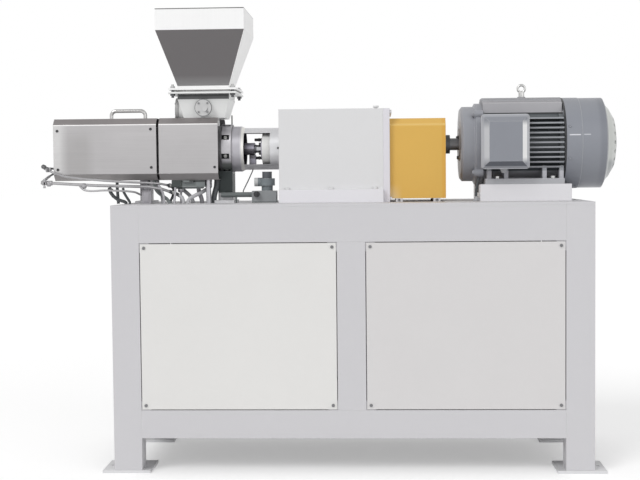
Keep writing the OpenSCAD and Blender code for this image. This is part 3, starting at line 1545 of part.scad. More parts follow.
handle_bend = 18;
handle_x = (long_x0 + long_x1) / 2 + handle_shift;
module cover_handle() color([0.80, 0.79, 0.77]) {
    r = handle_d / 2;
    top = cover_top + handle_h - r;
    for (s = [-1, 1])
        translate([handle_x, 0, 0])
            mirror([s < 0 ? 1 : 0, 0, 0]) {
                rod_z([cover_top, top - handle_bend], r, handle_l / 2, 0);
                translate([handle_l / 2 - handle_bend, 0, top - handle_bend])
                    rotate([90, 0, 0])
                        rotate_extrude(angle = 90)
                            translate([handle_bend, 0])
                                circle(r = r, $fn = 24);
                rod_x([0, handle_l / 2 - handle_bend], r, 0, top);
            }
}

// Water pipes with their fittings, and the hoses under the barrel
fitting_d = 18;
module water_pipes() color([0.62, 0.63, 0.63]) {
    swept_tube(pipe_route(upper_shares), pipe_r);
    swept_tube(pipe_route(lower_shares), low_pipe_r);
    for (f = fitting_shares)
        rod_x([discharge_x0 + f[0] * long_cover_l, discharge_x0 + f[1] * long_cover_l], fitting_d / 2,
            f[2] * cover_w, tray_z0 + f[3] * cover_h);
}

module hose_bundle() color([0.30, 0.31, 0.33])
    for (k = [0:len(hose_routes) - 1])
        swept_tube(hose_routes[k], hose_radii[k]);

// Drain valve on the table, with its pipe, its bonnet and its side port
valve_x = -317;
valve_y = -60;
valve_w = 60;
valve_left = 55;
valve_right = 36;
valve_base_h = 44;
valve_lap = 16;
neck_r = 21;
neck_h = 19;
body_r = 29;
body_h = 27;
cap_r = 18;
cap_h = 25;
neck_top = table_h + valve_base_h + neck_h;
side_port_r = 16;
side_port_l = 47;
side_port_z = neck_top + body_h / 2;
drain_pipe_r = 9.5;
drain_pipe_h = 30;
drain_pipe_z = table_h + drain_pipe_h;
drain_foot_t = 6;
drain_foot_in = 54;
valve_x0 = valve_x - valve_left;
spindle_r = 4;
spindle_l = 9;
spindle_in = 36;
spindle_h = 32;
spindle_x = valve_x - spindle_in;
spindle_z = table_h + spindle_h;
knob_r = 11;
knob_l = 15.7;
knob_bar = 6;
module drain_valve() color([0.45, 0.47, 0.48]) {
    box([valve_x0, valve_x + valve_right], [valve_y - valve_w / 2, valve_y + valve_w / 2],
        [table_h, table_h + valve_base_h]);
    rod_z([table_h + valve_base_h - valve_lap, neck_top], neck_r, valve_x, valve_y);
    rod_z([neck_top, neck_top + body_h], body_r, valve_x, valve_y);
    rod_z([neck_top + body_h, neck_top + body_h + cap_h], cap_r, valve_x, valve_y);
    rod_x([valve_x - side_port_l, valve_x], side_port_r, valve_y, side_port_z);
    rod_x([barrel_x1, valve_x0], drain_pipe_r, valve_y, drain_pipe_z);
    box([barrel_x1 + drain_foot_in, barrel_x1 + drain_foot_in + drain_foot_t],
        [valve_y - drain_foot_t / 2, valve_y + drain_foot_t / 2], [table_h, drain_pipe_z]);
    rod_y([valve_y - valve_w / 2 - spindle_l + cut, valve_y - valve_w / 2 + cut], spindle_r,
        spindle_x, spindle_z);
}

module valve_knob() color([0.15, 0.15, 0.16]) {
    y1 = valve_y - valve_w / 2 - seat_gap;
    difference() {
        union() {
            rod_y([y1 - knob_l, y1], knob_r, spindle_x, spindle_z);
            box([spindle_x - knob_bar / 2, spindle_x + knob_bar / 2],
                [y1 - knob_l - knob_bar, y1 - knob_l + cut],
                [spindle_z - knob_r + cut, spindle_z + knob_r - cut]);
        }
        rod_y([y1 - spindle_l, y1 + cut], spindle_r + run_clear, spindle_x, spindle_z);
    }
}

foot_plates();
uprights();
long_rails();
cross_rails();
top_plate();
side_panels();
end_panels();
panel_screws();
barrel_segments();
feed_barrel();
heater_shells();
discharge_flange();
barrel_bolts();
barrel_supports();
lower_trays();
clamp_ring();
lantern();
seal_housing();
gearbox_casing();
gearbox_cover();
gearbox_bolts();
gearbox_bearings();
input_shaft();
layshaft();
output_shaft_left();
output_shaft_right();
coupling_sleeve_left();
coupling_sleeve_right();
screw_shaft_left();
screw_shaft_right();
screw_elements_left();
screw_elements_right();
motor_frame();
stator_core();
rotor_core();
motor_shaft();
cooling_fan();
shaft_coupling();
drive_end_shield();
rear_end_shield();
fan_cover();
terminal_box();
terminal_lid();
eyebolt();
motor_bearings();
motor_plinth();
motor_bolts();
coupling_guard();
feed_throat();
port_covers();
hopper();
hopper_bolts();
long_cover();
cover_handle();
short_cover();
hinge_pins();
water_pipes();
hose_bundle();
drain_valve();
valve_knob();
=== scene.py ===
import bpy
import bmesh
import math
from contextlib import contextmanager
from mathutils import Matrix, Vector


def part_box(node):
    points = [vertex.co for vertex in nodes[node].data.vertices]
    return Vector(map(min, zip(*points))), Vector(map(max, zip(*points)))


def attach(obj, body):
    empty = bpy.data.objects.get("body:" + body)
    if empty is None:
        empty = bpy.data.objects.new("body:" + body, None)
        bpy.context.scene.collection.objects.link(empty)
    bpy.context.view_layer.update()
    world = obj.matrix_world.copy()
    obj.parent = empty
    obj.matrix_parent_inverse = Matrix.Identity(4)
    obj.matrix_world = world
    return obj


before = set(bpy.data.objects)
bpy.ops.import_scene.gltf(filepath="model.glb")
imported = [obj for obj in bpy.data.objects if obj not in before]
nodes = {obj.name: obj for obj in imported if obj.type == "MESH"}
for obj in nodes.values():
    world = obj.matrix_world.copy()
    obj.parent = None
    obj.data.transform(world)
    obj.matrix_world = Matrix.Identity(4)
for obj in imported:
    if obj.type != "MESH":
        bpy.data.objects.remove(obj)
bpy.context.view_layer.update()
bpy.ops.object.select_all(action="DESELECT")


# Camera
# It stands 4.5 m in front of the table, a little lower than the barrel, turned
# slightly towards the discharge end and tipped down by about three degrees.
camera_place = Vector((0.10296, -4.8084, 1.05863))
camera_turn = math.radians(2.708)
camera_tip = math.radians(2.954)
camera_roll = math.radians(-0.547)
ahead = Vector((-math.sin(camera_turn) * math.cos(camera_tip),
                math.cos(camera_turn) * math.cos(camera_tip), -math.sin(camera_tip)))
level = Vector((math.cos(camera_turn), math.sin(camera_turn), 0))
upward = level.cross(ahead)
camera_right = level * math.cos(camera_roll) + upward * math.sin(camera_roll)
camera_up = upward * math.cos(camera_roll) - level * math.sin(camera_roll)
lens = bpy.data.cameras.new("lens")
lens.sensor_width = 36
lens.lens = 71.76
camera = bpy.data.objects.new("camera", lens)
bpy.context.scene.collection.objects.link(camera)
camera.matrix_world = (Matrix.Translation(camera_place)
                       @ Matrix((camera_right, camera_up, -ahead)).transposed().to_4x4())
bpy.context.scene.camera = camera


# Table frame
# A table of welded box section on four foot plates, closed by a steel top.
# It is sprayed pale cool grey after welding, so paint runs over every seam.
def shade(red, green, blue):
    # A screen colour, 0 to 255, as the linear colour that a node takes
    return tuple((c / 255 / 12.92 if c <= 10 else ((c / 255 + 0.055) / 1.055) ** 2.4)
                 for c in (red, green, blue)) + (1.0,)


def add_node(tree, kind, inputs=None, **settings):
    made = tree.nodes.new(kind)
    for name, value in settings.items():
        setattr(made, name, value)
    for name, value in (inputs or {}).items():
        if isinstance(value, bpy.types.NodeSocket):
            tree.links.new(value, made.inputs[name])
        else:
            made.inputs[name].default_value = value
    return made


def maths(tree, operation, *values):
    return add_node(tree, "ShaderNodeMath", dict(enumerate(values)), operation=operation).outputs[0]


def vector_maths(tree, operation, *values):
    made = add_node(tree, "ShaderNodeVectorMath", dict(enumerate(values)), operation=operation)
    return made.outputs["Value" if operation in ("DOT_PRODUCT", "LENGTH") else "Vector"]


def ramp(tree, value, low, high, start=0.0, end=1.0):
    return add_node(tree, "ShaderNodeMapRange",
                    {"Value": value, "From Min": low, "From Max": high, "To Min": start,
                     "To Max": end}).outputs[0]


def noise(tree, place, scale, detail, roughness=0.5):
    return add_node(tree, "ShaderNodeTexNoise",
                    {"Vector": place, "Scale": scale, "Detail": detail,
                     "Roughness": roughness}).outputs["Fac"]


def mixed(tree, share, under, over):
    return add_node(tree, "ShaderNodeMix", {0: share, 6: under, 7: over},
                    data_type="RGBA").outputs[2]


def part_of(tree, vector, axis):
    return add_node(tree, "ShaderNodeSeparateXYZ", {0: vector}).outputs[axis]


def start_group(name, inputs):
    # Each input keeps its value here until a material sets its own
    group = bpy.data.node_groups.new(name, "ShaderNodeTree")
    for label, value in inputs.items():
        kind = {3: "Vector", 4: "Color"}[len(value)] if isinstance(value, tuple) else "Float"
        socket = group.interface.new_socket(label, in_out="INPUT", socket_type="NodeSocket" + kind)
        socket.default_value = value
    for label, kind in (("Colour", "Color"), ("Roughness", "Float"), ("Normal", "Vector")):
        group.interface.new_socket(label, in_out="OUTPUT", socket_type="NodeSocket" + kind)
    return group, add_node(group, "NodeGroupInput").outputs


def varied(tree, colour, fine, fine_share, broad, broad_share):
    # A colour made lighter and darker by two patterns that swing round nought
    value = maths(tree, "MULTIPLY_ADD", fine, fine_share, 1.0)
    value = maths(tree, "MULTIPLY_ADD", broad, broad_share, value)
    return add_node(tree, "ShaderNodeHueSaturation",
                    {"Color": colour, "Value": value}).outputs["Color"]


def find_edges(tree, radius, widest):
    # A normal rounded over the edges, and a mask of where it leaves the face's own normal
    soft = add_node(tree, "ShaderNodeBevel", {"Radius": radius}, samples=4).outputs["Normal"]
    flat = add_node(tree, "ShaderNodeNewGeometry").outputs["Normal"]
    return soft, ramp(tree, vector_maths(tree, "DOT_PRODUCT", soft, flat), 0.998, widest)


def end_group(group, colour, roughness, relief, depth, height, normal):
    # Gives out the three results, with the height's relief laid over the normal
    bump = add_node(group, "ShaderNodeBump", {"Strength": relief, "Distance": depth,
                                              "Height": height, "Normal": normal})
    add_node(group, "NodeGroupOutput", {"Colour": colour, "Roughness": roughness,
                                        "Normal": bump.outputs[0]})
    return group


def sprayed_paint():
    group, given = start_group("sprayed_paint", {
        "Paint": (0.6, 0.6, 0.6, 1), "Mottle": 0.03, "Patches": 3.0, "Gloss Loss": 0.45,
        "Peel": 0.2, "Edge Wear": 0.3, "Edge Radius": 0.0015, "Dust": 0.15})
    place = add_node(group, "ShaderNodeTexCoord").outputs["Object"]
    patches = noise(group, place, given["Patches"], 4.0)
    specks = maths(group, "ADD", noise(group, place, 55.0, 3.0), -0.5)
    toned = varied(group, given["Paint"], specks, maths(group, "MULTIPLY", given["Mottle"], 0.35),
                   maths(group, "ADD", patches, -0.5), given["Mottle"])
    # Edges are rubbed paler, partly by wear and partly as a painted highlight along them
    soft, edge = find_edges(group, given["Edge Radius"], 0.9)
    worn_and_lit_edges = maths(group, "MULTIPLY", edge, given["Edge Wear"])
    rubbed_and_lit = mixed(group, worn_and_lit_edges, toned, shade(238, 238, 236))
    # Dust lies in patches on what faces up
    up = part_of(group, add_node(group, "ShaderNodeNewGeometry").outputs["Normal"], "Z")
    settled = maths(group, "MULTIPLY", ramp(group, up, 0.5, 1.0), patches)
    dusty = maths(group, "MULTIPLY", settled, given["Dust"])
    dusted = mixed(group, dusty, rubbed_and_lit, shade(196, 192, 184))
    dull = maths(group, "MULTIPLY_ADD", patches, 0.12, given["Gloss Loss"])
    return end_group(group, dusted, maths(group, "ADD", dusty, dull), given["Peel"], 0.0004,
                     noise(group, place, 420.0, 2.0), soft)


paint_group = sprayed_paint()


def finish_from(group, name, colour, values, metallic, coat=0.0, coat_roughness=0.2):
    material = bpy.data.materials.new(name)
    material.use_nodes = True
    tree = material.node_tree
    skin = add_node(tree, "ShaderNodeGroup", node_tree=group)
    skin.inputs[0].default_value = colour
    for label, value in values.items():
        skin.inputs[label.replace("_", " ")].default_value = value
    surface = tree.nodes["Principled BSDF"].inputs
    surface["Metallic"].default_value = metallic
    surface["Coat Weight"].default_value = coat
    surface["Coat Roughness"].default_value = coat_roughness
    tree.links.new(skin.outputs["Colour"], surface["Base Color"])
    tree.links.new(skin.outputs["Roughness"], surface["Roughness"])
    tree.links.new(skin.outputs["Normal"], surface["Normal"])
    return material


def painted(name, colour, **values):
    return finish_from(paint_group, name, colour, values, 0.0, 0.12, 0.3)


def dress(material, *names):
    for name in names:
        mesh = nodes[name].data
        mesh.materials.clear()
        mesh.materials.append(material)


table_grey = shade(209, 208, 211)
# The foot plates take a paler copy of the table paint, as painted light on plates in the table's shade
for name, colour, dressed in (
        ("table_paint", table_grey, ("uprights", "long_rails", "cross_rails", "top_plate")),
        ("foot_paint_lightened", shade(226, 226, 228), ("foot_plates",))):
    dress(painted(name, colour, Mottle=0.035, Patches=2.2, Edge_Wear=0.35, Edge_Radius=0.002),
          *dressed)


# Panels
# Thin sheet panels, sprayed warm white, screwed to tabs in the bays of the
# table. Each hangs in its bay with a narrow dark gap all round.
def band(kind, output, axis, low, high, soft):
    # A mask that is one from low to high and fades out over the soft distance beyond them
    def mask(tree):
        along = part_of(tree, add_node(tree, kind).outputs[output], axis)
        return maths(tree, "MULTIPLY", ramp(tree, along, low - soft, low),
                     ramp(tree, along, high + soft, high))
    return mask


def between(axis, low, high, soft=0.001):
    return band("ShaderNodeTexCoord", "Object", axis, low, high, soft)


def zoned(material, *layers):
    # Each layer is a colour and the mask of where it lies over those before it
    tree = material.node_tree
    base = next(made for made in tree.nodes if made.type == "GROUP").inputs[0]
    shown = tuple(base.default_value)
    for colour, mask in layers:
        shown = mixed(tree, mask(tree), shown, colour)
    tree.links.new(shown, base)


panel_paint = painted("panel_paint", shade(231, 230, 228), Mottle=0.05, Patches=4.5,
                      Gloss_Loss=0.5, Edge_Wear=0.2, Edge_Radius=0.0008)
# The panels on the motor's half of the table are a shade darker
zoned(panel_paint, (shade(219, 217, 217), between("X", 0.03, 0.95, 0.02)))
dress(panel_paint, "side_panels", "end_panels")


def worked_metal():
    group, given = start_group("worked_metal", {
        "Metal": (0.5, 0.5, 0.5, 1), "Grain": (6.0, 300.0, 300.0), "Streaks": 0.2,
        "Smears": 0.15, "Smear Size": 6.0, "Roughness": 0.32, "Groove": 0.15,
        "Edge Shine": 0.35, "Edge Radius": 0.0008})
    place = add_node(group, "ShaderNodeTexCoord").outputs["Object"]
    lines = noise(group, vector_maths(group, "MULTIPLY", place, given["Grain"]), 1.0, 3.0, 0.6)
    line = maths(group, "ADD", lines, -0.5)
    smear = maths(group, "ADD", noise(group, place, given["Smear Size"], 3.0), -0.5)
    toned = varied(group, given["Metal"], line, given["Streaks"], smear, given["Smears"])
    soft, edge = find_edges(group, given["Edge Radius"], 0.85)
    bright = maths(group, "MULTIPLY", edge, given["Edge Shine"])
    dull = maths(group, "MULTIPLY_ADD", smear, 0.25, given["Roughness"])
    return end_group(group, mixed(group, bright, toned, shade(232, 232, 232)),
                     maths(group, "MULTIPLY_ADD", line, 0.15, dull), given["Groove"], 0.0002,
                     lines, soft)


metal_group = worked_metal()


def metal(name, colour, metallic=1.0, **values):
    return finish_from(metal_group, name, colour, values, metallic)


def plated(name, colour, roughness):
    return metal(name, colour, Grain=(150, 150, 150), Roughness=roughness, Smears=0.3,
                 Smear_Size=60)


panel_zinc = plated("worn_zinc", shade(128, 128, 130), 0.4)
dress(panel_zinc, "panel_screws")


# Motor plinth
# Two welded rails that lift the motor's feet to the height of the gearbox
# shaft. Their colour is a little paler than the table's, as painted light in the motor's shade.
plinth_paint_lightened = painted("plinth_paint_lightened", shade(229, 228, 231), Mottle=0.06, Patches=6.0,
                       Gloss_Loss=0.35, Edge_Wear=0.2, Edge_Radius=0.002)
dress(plinth_paint_lightened, "motor_plinth")


# Gearbox
# A welded casing with a foot strip and a bolted end cover at the motor side,
# filled, smoothed and sprayed a very pale grey.
table_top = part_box("top_plate")[1].z
gearbox_paint = painted("gearbox_paint", shade(225, 225, 226), Mottle=0.03, Patches=3.0,
                        Gloss_Loss=0.4, Edge_Wear=0.4, Edge_Radius=0.003)
# The foot strip and the cover strip catch a little more light
zoned(gearbox_paint, (shade(233, 232, 236), between("Z", table_top, 1.0028)),
      (shade(226, 224, 230), between("X", 0.1165, 0.141)))
dress(gearbox_paint, "gearbox_casing", "gearbox_cover", "gearbox_bolts")


def start_piece(kind, **sizes):
    bpy.ops.object.select_all(action="DESELECT")
    getattr(bpy.ops.mesh, "primitive_" + kind + "_add")(**sizes)
    bpy.ops.object.transform_apply(location=True, rotation=True, scale=True)
    return bpy.context.active_object


@contextmanager
def editing():
    bpy.ops.object.mode_set(mode="EDIT")
    yield
    bpy.ops.object.mode_set(mode="OBJECT")


def pick_faces(test):
    bpy.ops.mesh.select_all(action="DESELECT")
    bpy.ops.mesh.select_mode(type="FACE")
    shape = bmesh.from_edit_mesh(bpy.context.active_object.data)
    for face in shape.faces:
        face.select_set(bool(test(face.calc_center_median(), face.normal)))
    bmesh.update_edit_mesh(bpy.context.active_object.data)


def push(shift):
    bpy.ops.mesh.extrude_region_move(TRANSFORM_OT_translate={"value": shift})


def step_face(way, rim, rise):
    # The faces turned this way keep a rim, and the middle stands out or lies back
    way = Vector(way)
    pick_faces(lambda centre, normal: normal.dot(way) > 0.9)
    bpy.ops.mesh.inset(thickness=rim)
    push(way * rise)


def round_edges(piece, width, segments=2, angle=50):
    bevel = piece.modifiers.new("edges", "BEVEL")
    bevel.width = width
    bevel.segments = segments
    bevel.limit_method = "ANGLE"
    bevel.angle_limit = math.radians(angle)
    bpy.ops.object.modifier_apply(modifier="edges")


def seat(model, places):
    # Copies of a model, each set with its own +Z along a direction, joined in one piece
    copies = []
    for place, way in places:
        copy = model.copy()
        copy.data = model.data.copy()
        bpy.context.scene.collection.objects.link(copy)
        copy.rotation_mode = "QUATERNION"
        copy.rotation_quaternion = Vector(way).to_track_quat("Z", "Y")
        copy.location = place
        copies.append(copy)
    bpy.data.objects.remove(model)
    bpy.ops.object.select_all(action="DESELECT")
    for copy in copies:
        copy.select_set(True)
    bpy.context.view_layer.objects.active = copies[0]
    if len(copies) > 1:
        bpy.ops.object.join()
    return bpy.context.active_object


def hand_over(piece, name, material, body="frame"):
    # Fixes the mesh in its place, smooths it, and says its name, finish and body
    bpy.ops.object.select_all(action="DESELECT")
    piece.select_set(True)
    bpy.context.view_layer.objects.active = piece
    bpy.ops.object.transform_apply(location=True, rotation=True, scale=True)
    bpy.ops.object.shade_smooth_by_angle(angle=math.radians(40))
    piece.name = name
    piece.data.materials.clear()
    piece.data.materials.append(material)
    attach(piece, body)


def place_all(model, places, name, material, body="frame"):
    # Copies of one model at all these places, as one piece
    hand_over(seat(model, places), name, material, body)


# The breather on the lid of the casing: a hexagon foot, a neck and a domed cap
lid_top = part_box("gearbox_casing")[1].z
breather = start_piece("cylinder", vertices=6, radius=0.010, depth=0.004, location=(0, 0, 0.002))
with editing():
    step_face((0, 0, 1), 0.0035, 0.003)
    push((0, 0, 0.0001))
    bpy.ops.transform.resize(value=(2.1, 2.1, 1))
    push((0, 0, 0.007))
round_edges(breather, 0.0018, 3)
breather_place = (0.090, -0.060, lid_top)
place_all(breather, [(breather_place, (0, 0, 1))], "gearbox_breather", gearbox_paint)


# Shafts, gears and bearings
# Hardened and ground steel, oiled, so it is darker and smoother than the
# sheet metal outside. The marks of the lathe run round each shaft.
ground_steel = metal("ground_steel", shade(176, 178, 182), Grain=(900, 8, 8), Roughness=0.24,
                     Streaks=0.15)
dress(ground_steel, "gearbox_bearings", "motor_bearings", "screw_shaft_left", "screw_shaft_right")
dull_shaft = metal("dull_shaft", shade(122, 122, 124), metallic=0.9, Grain=(900, 8, 8),
                   Roughness=0.36, Streaks=0.3, Smears=0.3, Smear_Size=20)
dress(dull_shaft, "motor_shaft")
gear_steel = metal("gear_steel", shade(164, 166, 172), Grain=(300, 40, 40), Roughness=0.28,
                   Streaks=0.2)
dress(gear_steel, "input_shaft", "layshaft", "output_shaft_left", "output_shaft_right")


# Shaft coupling and its guard
# A turned iron claw coupling joins motor and gearbox. A folded sheet guard,
# enamelled golden yellow, covers it. Its four small feet have the table's paint.
coupling_iron = metal("coupling_iron", shade(92, 94, 98), metallic=0.85, Grain=(700, 10, 10),
                      Roughness=0.38, Streaks=0.25)
dress(coupling_iron, "shaft_coupling")


def overlap(*masks, strength=1.0):
    # The mask of where all these masks meet
    def mask(tree):
        shared = strength
        for each in masks:
            shared = maths(tree, "MULTIPLY", each(tree), shared)
        return shared
    return mask


guard_paint = painted("guard_paint", shade(223, 178, 84), Mottle=0.05, Patches=5.0,
                      Gloss_Loss=0.32, Edge_Wear=0.2, Edge_Radius=0.002)
# Deeper at the motor's end, with a painted highlight along the upper fold and painted light low down
# beside the gearbox
zoned(guard_paint, (shade(222, 170, 72), between("X", 0.333, 0.345, 0.006)),
      (shade(232, 192, 104), between("Z", 1.2335, 1.239, 0.003)),
      (shade(230, 205, 160), overlap(between("X", 0.139, 0.150, 0.035),
                                     between("Z", table_top, 0.972, 0.05), strength=0.75)),
      (table_grey, between("Z", 0.950, 0.9672)))
dress(guard_paint, "coupling_guard")


def socket_screw(radius, height):
    # A round head with a sunk socket and softened rim
    head = start_piece("cylinder", vertices=20, radius=radius, depth=height,
                       location=(0, 0, height / 2))
    with editing():
        step_face((0, 0, 1), radius * 0.42, -height * 0.55)
    round_edges(head, radius * 0.14)
    return head


guard_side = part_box("coupling_guard")[1].y
foot_screw_z = 0.9612
foot_middles = (0.1733, 0.3110)
place_all(socket_screw(0.0048, 0.003),
          [((x, side * guard_side, foot_screw_z), (0, side, 0))
           for x in foot_middles for side in (-1, 1)],
          "guard_screws", panel_zinc)


# Motor
# A cast, finned frame with two bolted shields, a pressed fan cover and a
# terminal box, all in blue-grey enamel with the slight skin of a casting.
motor_axis_z = 1.1657
motor_axis = (0, 0, motor_axis_z)
round_x = (0, 1, 1)


def turned(axis, low, high, soft=0.05):
    return band("ShaderNodeNewGeometry", "Normal", axis, low, high, soft)


def nearer(centre, across, close, far):
    # One up to the close distance from a line through the centre, nought from the far one on
    def mask(tree):
        place = add_node(tree, "ShaderNodeTexCoord").outputs["Object"]
        flat = vector_maths(tree, "MULTIPLY", vector_maths(tree, "SUBTRACT", place, centre), across)
        return ramp(tree, vector_maths(tree, "LENGTH", flat), far, close)
    return mask


faces_front = turned("Y", -1.0, -0.5)
faces_back = turned("Y", 0.5, 1.0)
motor_paint = painted("motor_enamel", shade(152, 154, 161), Mottle=0.09, Patches=9.0,
                      Gloss_Loss=0.34, Peel=0.45, Edge_Wear=0.4, Edge_Radius=0.0015)
dress(motor_paint, "drive_end_shield", "rear_end_shield", "terminal_box")
fin_paint = painted("finned_enamel", shade(148, 151, 156), Mottle=0.09, Patches=9.0,
                    Gloss_Loss=0.38, Peel=0.45, Edge_Wear=0.25, Edge_Radius=0.0012)
# Painted shade lies deep between the fins, and a painted shadow line runs under the crown;
# painted light makes the crown, the feet and the shaded underside between them paler
crown = between("Z", 1.2765, 1.36)
crown_painted_light = shade(176, 175, 179)
zoned(fin_paint, (shade(84, 90, 94), nearer(motor_axis, round_x, 0.144, 0.166)),
      (crown_painted_light, overlap(faces_front, crown)), (crown_painted_light, overlap(faces_back, crown)),
      (shade(46, 49, 52), overlap(between("Z", 1.2700, 1.2760, 0.0006), between("X", 0.490, 0.77))),
      (shade(176, 177, 181), between("Z", 1.0155, 1.0362)),
      (shade(184, 184, 190), between("Z", 1.0362, 1.062, 0.004)))
dress(fin_paint, "motor_frame")
lid_paint = painted("lid_enamel", shade(139, 142, 150), Mottle=0.07, Patches=8.0,
                    Gloss_Loss=0.28, Peel=0.3, Edge_Wear=0.5, Edge_Radius=0.0018)
# Painted highlights make the two upright bevels paler, and painted shade keeps the lower one darker
zoned(lid_paint, (shade(252, 252, 252), overlap(turned("X", 0.45, 1.0),
                                                between("Z", 1.112, 1.226, 0.022))),
      (shade(240, 241, 243), overlap(turned("X", -1.0, -0.45), between("Z", 1.115, 1.215, 0.03),
                                     strength=0.5)),
      (shade(98, 102, 110), turned("Z", -1.0, -0.4)),
      (shade(170, 172, 178), overlap(between("Y", -0.222, -0.210, 0.002), turned("X", -1.0, 1.0),
                                     strength=0.75)))
dress(lid_paint, "terminal_lid")
cover_enamel = painted("fan_cover_enamel", shade(141, 144, 152), Mottle=0.06, Patches=7.0,
                       Gloss_Loss=0.28, Peel=0.2, Edge_Wear=0.3, Edge_Radius=0.0015)
# A pale joint, a dark gap at the shield, a pale rounded end that is darker low down, and two painted
# glints above the middle
painted_glint = overlap(turned("Y", -1.0, -0.7), between("Z", 1.1905, 1.1935), between("X", 0.788, 0.826, 0.002))
far_painted_glint = overlap(turned("Y", -1.0, -0.7), between("Z", 1.1915, 1.194),
                    between("X", 0.840, 0.862, 0.002))
zoned(cover_enamel, (shade(168, 171, 176), between("X", 0.8335, 0.8352, 0.0005)),
      (shade(40, 42, 46), between("X", 0.770, 0.7775, 0.0006)),
      (shade(130, 133, 141), between("X", 0.905, 0.925, 0.012)),
      (shade(206, 209, 205), between("X", 0.930, 0.966, 0.005)),
      (shade(150, 153, 156), overlap(between("X", 0.930, 0.98), between("Z", 0.98, 1.09, 0.02),
                                     strength=0.8)),
      (shade(222, 223, 228), painted_glint), (shade(200, 202, 208), far_painted_glint))
dress(cover_enamel, "fan_cover")
dress(plated("bright_zinc", shade(206, 206, 205), 0.3), "eyebolt", "motor_bolts")

# The lid sits on a thin rounded flange that shows as a pale outline round it
flange_rim = 0.003
flange_thickness = 0.005
lid_low, lid_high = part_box("terminal_lid")
lid_middle = (lid_low + lid_high) / 2
lid_flange = start_piece("cube", size=1, location=(lid_middle.x, lid_high.y, lid_middle.z),
                         scale=(lid_high.x - lid_low.x + 2 * flange_rim, flange_thickness,
                                lid_high.z - lid_low.z + 2 * flange_rim))
with editing():
    bpy.ops.mesh.select_all(action="DESELECT")
    bpy.ops.mesh.select_mode(type="EDGE")
    shape = bmesh.from_edit_mesh(lid_flange.data)
    for edge in shape.edges:
        first, second = (corner.co for corner in edge.verts)
        edge.select_set(abs(first.y - second.y) > flange_thickness * 0.8)
    bmesh.update_edit_mesh(lid_flange.data)
    bpy.ops.mesh.bevel(offset=0.012, segments=5)
round_edges(lid_flange, 0.0008)
flange_paint = painted("flange_enamel", shade(186, 188, 193), Mottle=0.07, Gloss_Loss=0.3,
                       Peel=0.3, Edge_Wear=0.4, Edge_Radius=0.001)
hand_over(lid_flange, "lid_flange", flange_paint)


def hex_bolt(radius, height):
    # A washer, a hexagon and the chamfered crown of a forged head
    head = start_piece("cylinder", vertices=6, radius=radius, depth=height,
                       location=(0, 0, height / 2))
    with editing():
        pick_faces(lambda centre, normal: normal.z > 0.9)
        bpy.ops.mesh.inset(thickness=radius * 0.12)
        bpy.ops.transform.translate(value=(0, 0, height * 0.12))
        bpy.ops.mesh.primitive_cylinder_add(vertices=24, radius=radius * 1.22,
                                            depth=height * 0.22, location=(0, 0, height * 0.11))
    round_edges(head, radius * 0.06, 1)
    return head


def on_circle(radius, angles):
    return [(radius * math.cos(math.radians(a)), radius * math.sin(math.radians(a)))
            for a in angles]


shield_lug_x = 0.449
shield_bolt_step = 0.106
place_all(hex_bolt(0.0095, 0.0075),
          [((shield_lug_x, a * shield_bolt_step, motor_axis_z + b * shield_bolt_step), (-1, 0, 0))
           for a in (-1, 1) for b in (-1, 1)],
          "shield_bolts", motor_paint)
dark_screw = metal("dark_screw", shade(66, 66, 68), metallic=0.6, Grain=(200, 200, 200),
                   Roughness=0.45)
cap_face_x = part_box("drive_end_shield")[0].x
cap_bolt_circle = 0.050
place_all(hex_bolt(0.0065, 0.005),
          [((cap_face_x, y, motor_axis_z + z), (-1, 0, 0))
           for y, z in on_circle(cap_bolt_circle, (30, 150, 270))],
          "bearing_cap_bolts", dark_screw)
fan_screw_x = 0.789
fan_cover_radius = 0.1679
place_all(socket_screw(0.0052, 0.003),
          [((fan_screw_x, y, motor_axis_z + z), (0, y, z))
           for y, z in on_circle(fan_cover_radius, (20, 160, 200, 340))],
          "fan_cover_screws", cover_enamel)

# Cable glands under the terminal box and on the table: a hexagon, a nut and a soft dome, all plastic
gland = start_piece("cylinder", vertices=6, radius=0.015, depth=0.006, location=(0, 0, 0.003))
with editing():
    step_face((0, 0, 1), 0.003, 0.006)
    bpy.ops.mesh.inset(thickness=0.003)
    push((0, 0, 0.005))
round_edges(gland, 0.0014, angle=40)
gland_plastic = painted("gland_plastic", shade(176, 177, 180), Mottle=0.05, Gloss_Loss=0.4,
                        Edge_Wear=0.1, Edge_Radius=0.0006)
place_all(gland, [((0.548, -0.184, 1.0738), (0, 0, -1)), ((0.456, -0.116, 0.9553), (0, 0, 1))],
          "cable_glands", gland_plastic)
laminations = metal("varnished_sheets", shade(120, 112, 104), metallic=0.7, Grain=(1500, 4, 4),
                    Roughness=0.45, Streaks=0.5)
dress(laminations, "stator_core")
rotor_alloy = metal("rotor_alloy", shade(188, 188, 190), Grain=(900, 6, 6), Roughness=0.4)
dress(rotor_alloy, "rotor_core")
fan_plastic = painted("moulded_black", shade(52, 53, 56), Mottle=0.1, Gloss_Loss=0.42, Peel=0.3,
                      Edge_Wear=0.1, Edge_Radius=0.001, Dust=0.4)
dress(fan_plastic, "cooling_fan")


# Barrel
# Five flanged segments and the feed barrel, milled from nitrided steel, with
# cast aluminium heater shells and black bolts, on two dark blocks.
barrel_steel = metal("barrel_steel", shade(150, 150, 152), Grain=(60, 60, 300), Roughness=0.34)
dress(barrel_steel, "barrel_segments", "feed_barrel")
heater_alloy = metal("heater_alloy", shade(186, 186, 184), metallic=0.9, Grain=(90, 90, 90),
                     Roughness=0.45, Smears=0.25, Smear_Size=25)
dress(heater_alloy, "heater_shells")
milled_steel = metal("milled_steel", shade(188, 189, 191), Grain=(50, 400, 50), Roughness=0.3)
dress(milled_steel, "discharge_flange")


def black_bolts(name):
    return metal(name, shade(92, 92, 95), metallic=0.8, Grain=(120, 120, 120), Roughness=0.4)


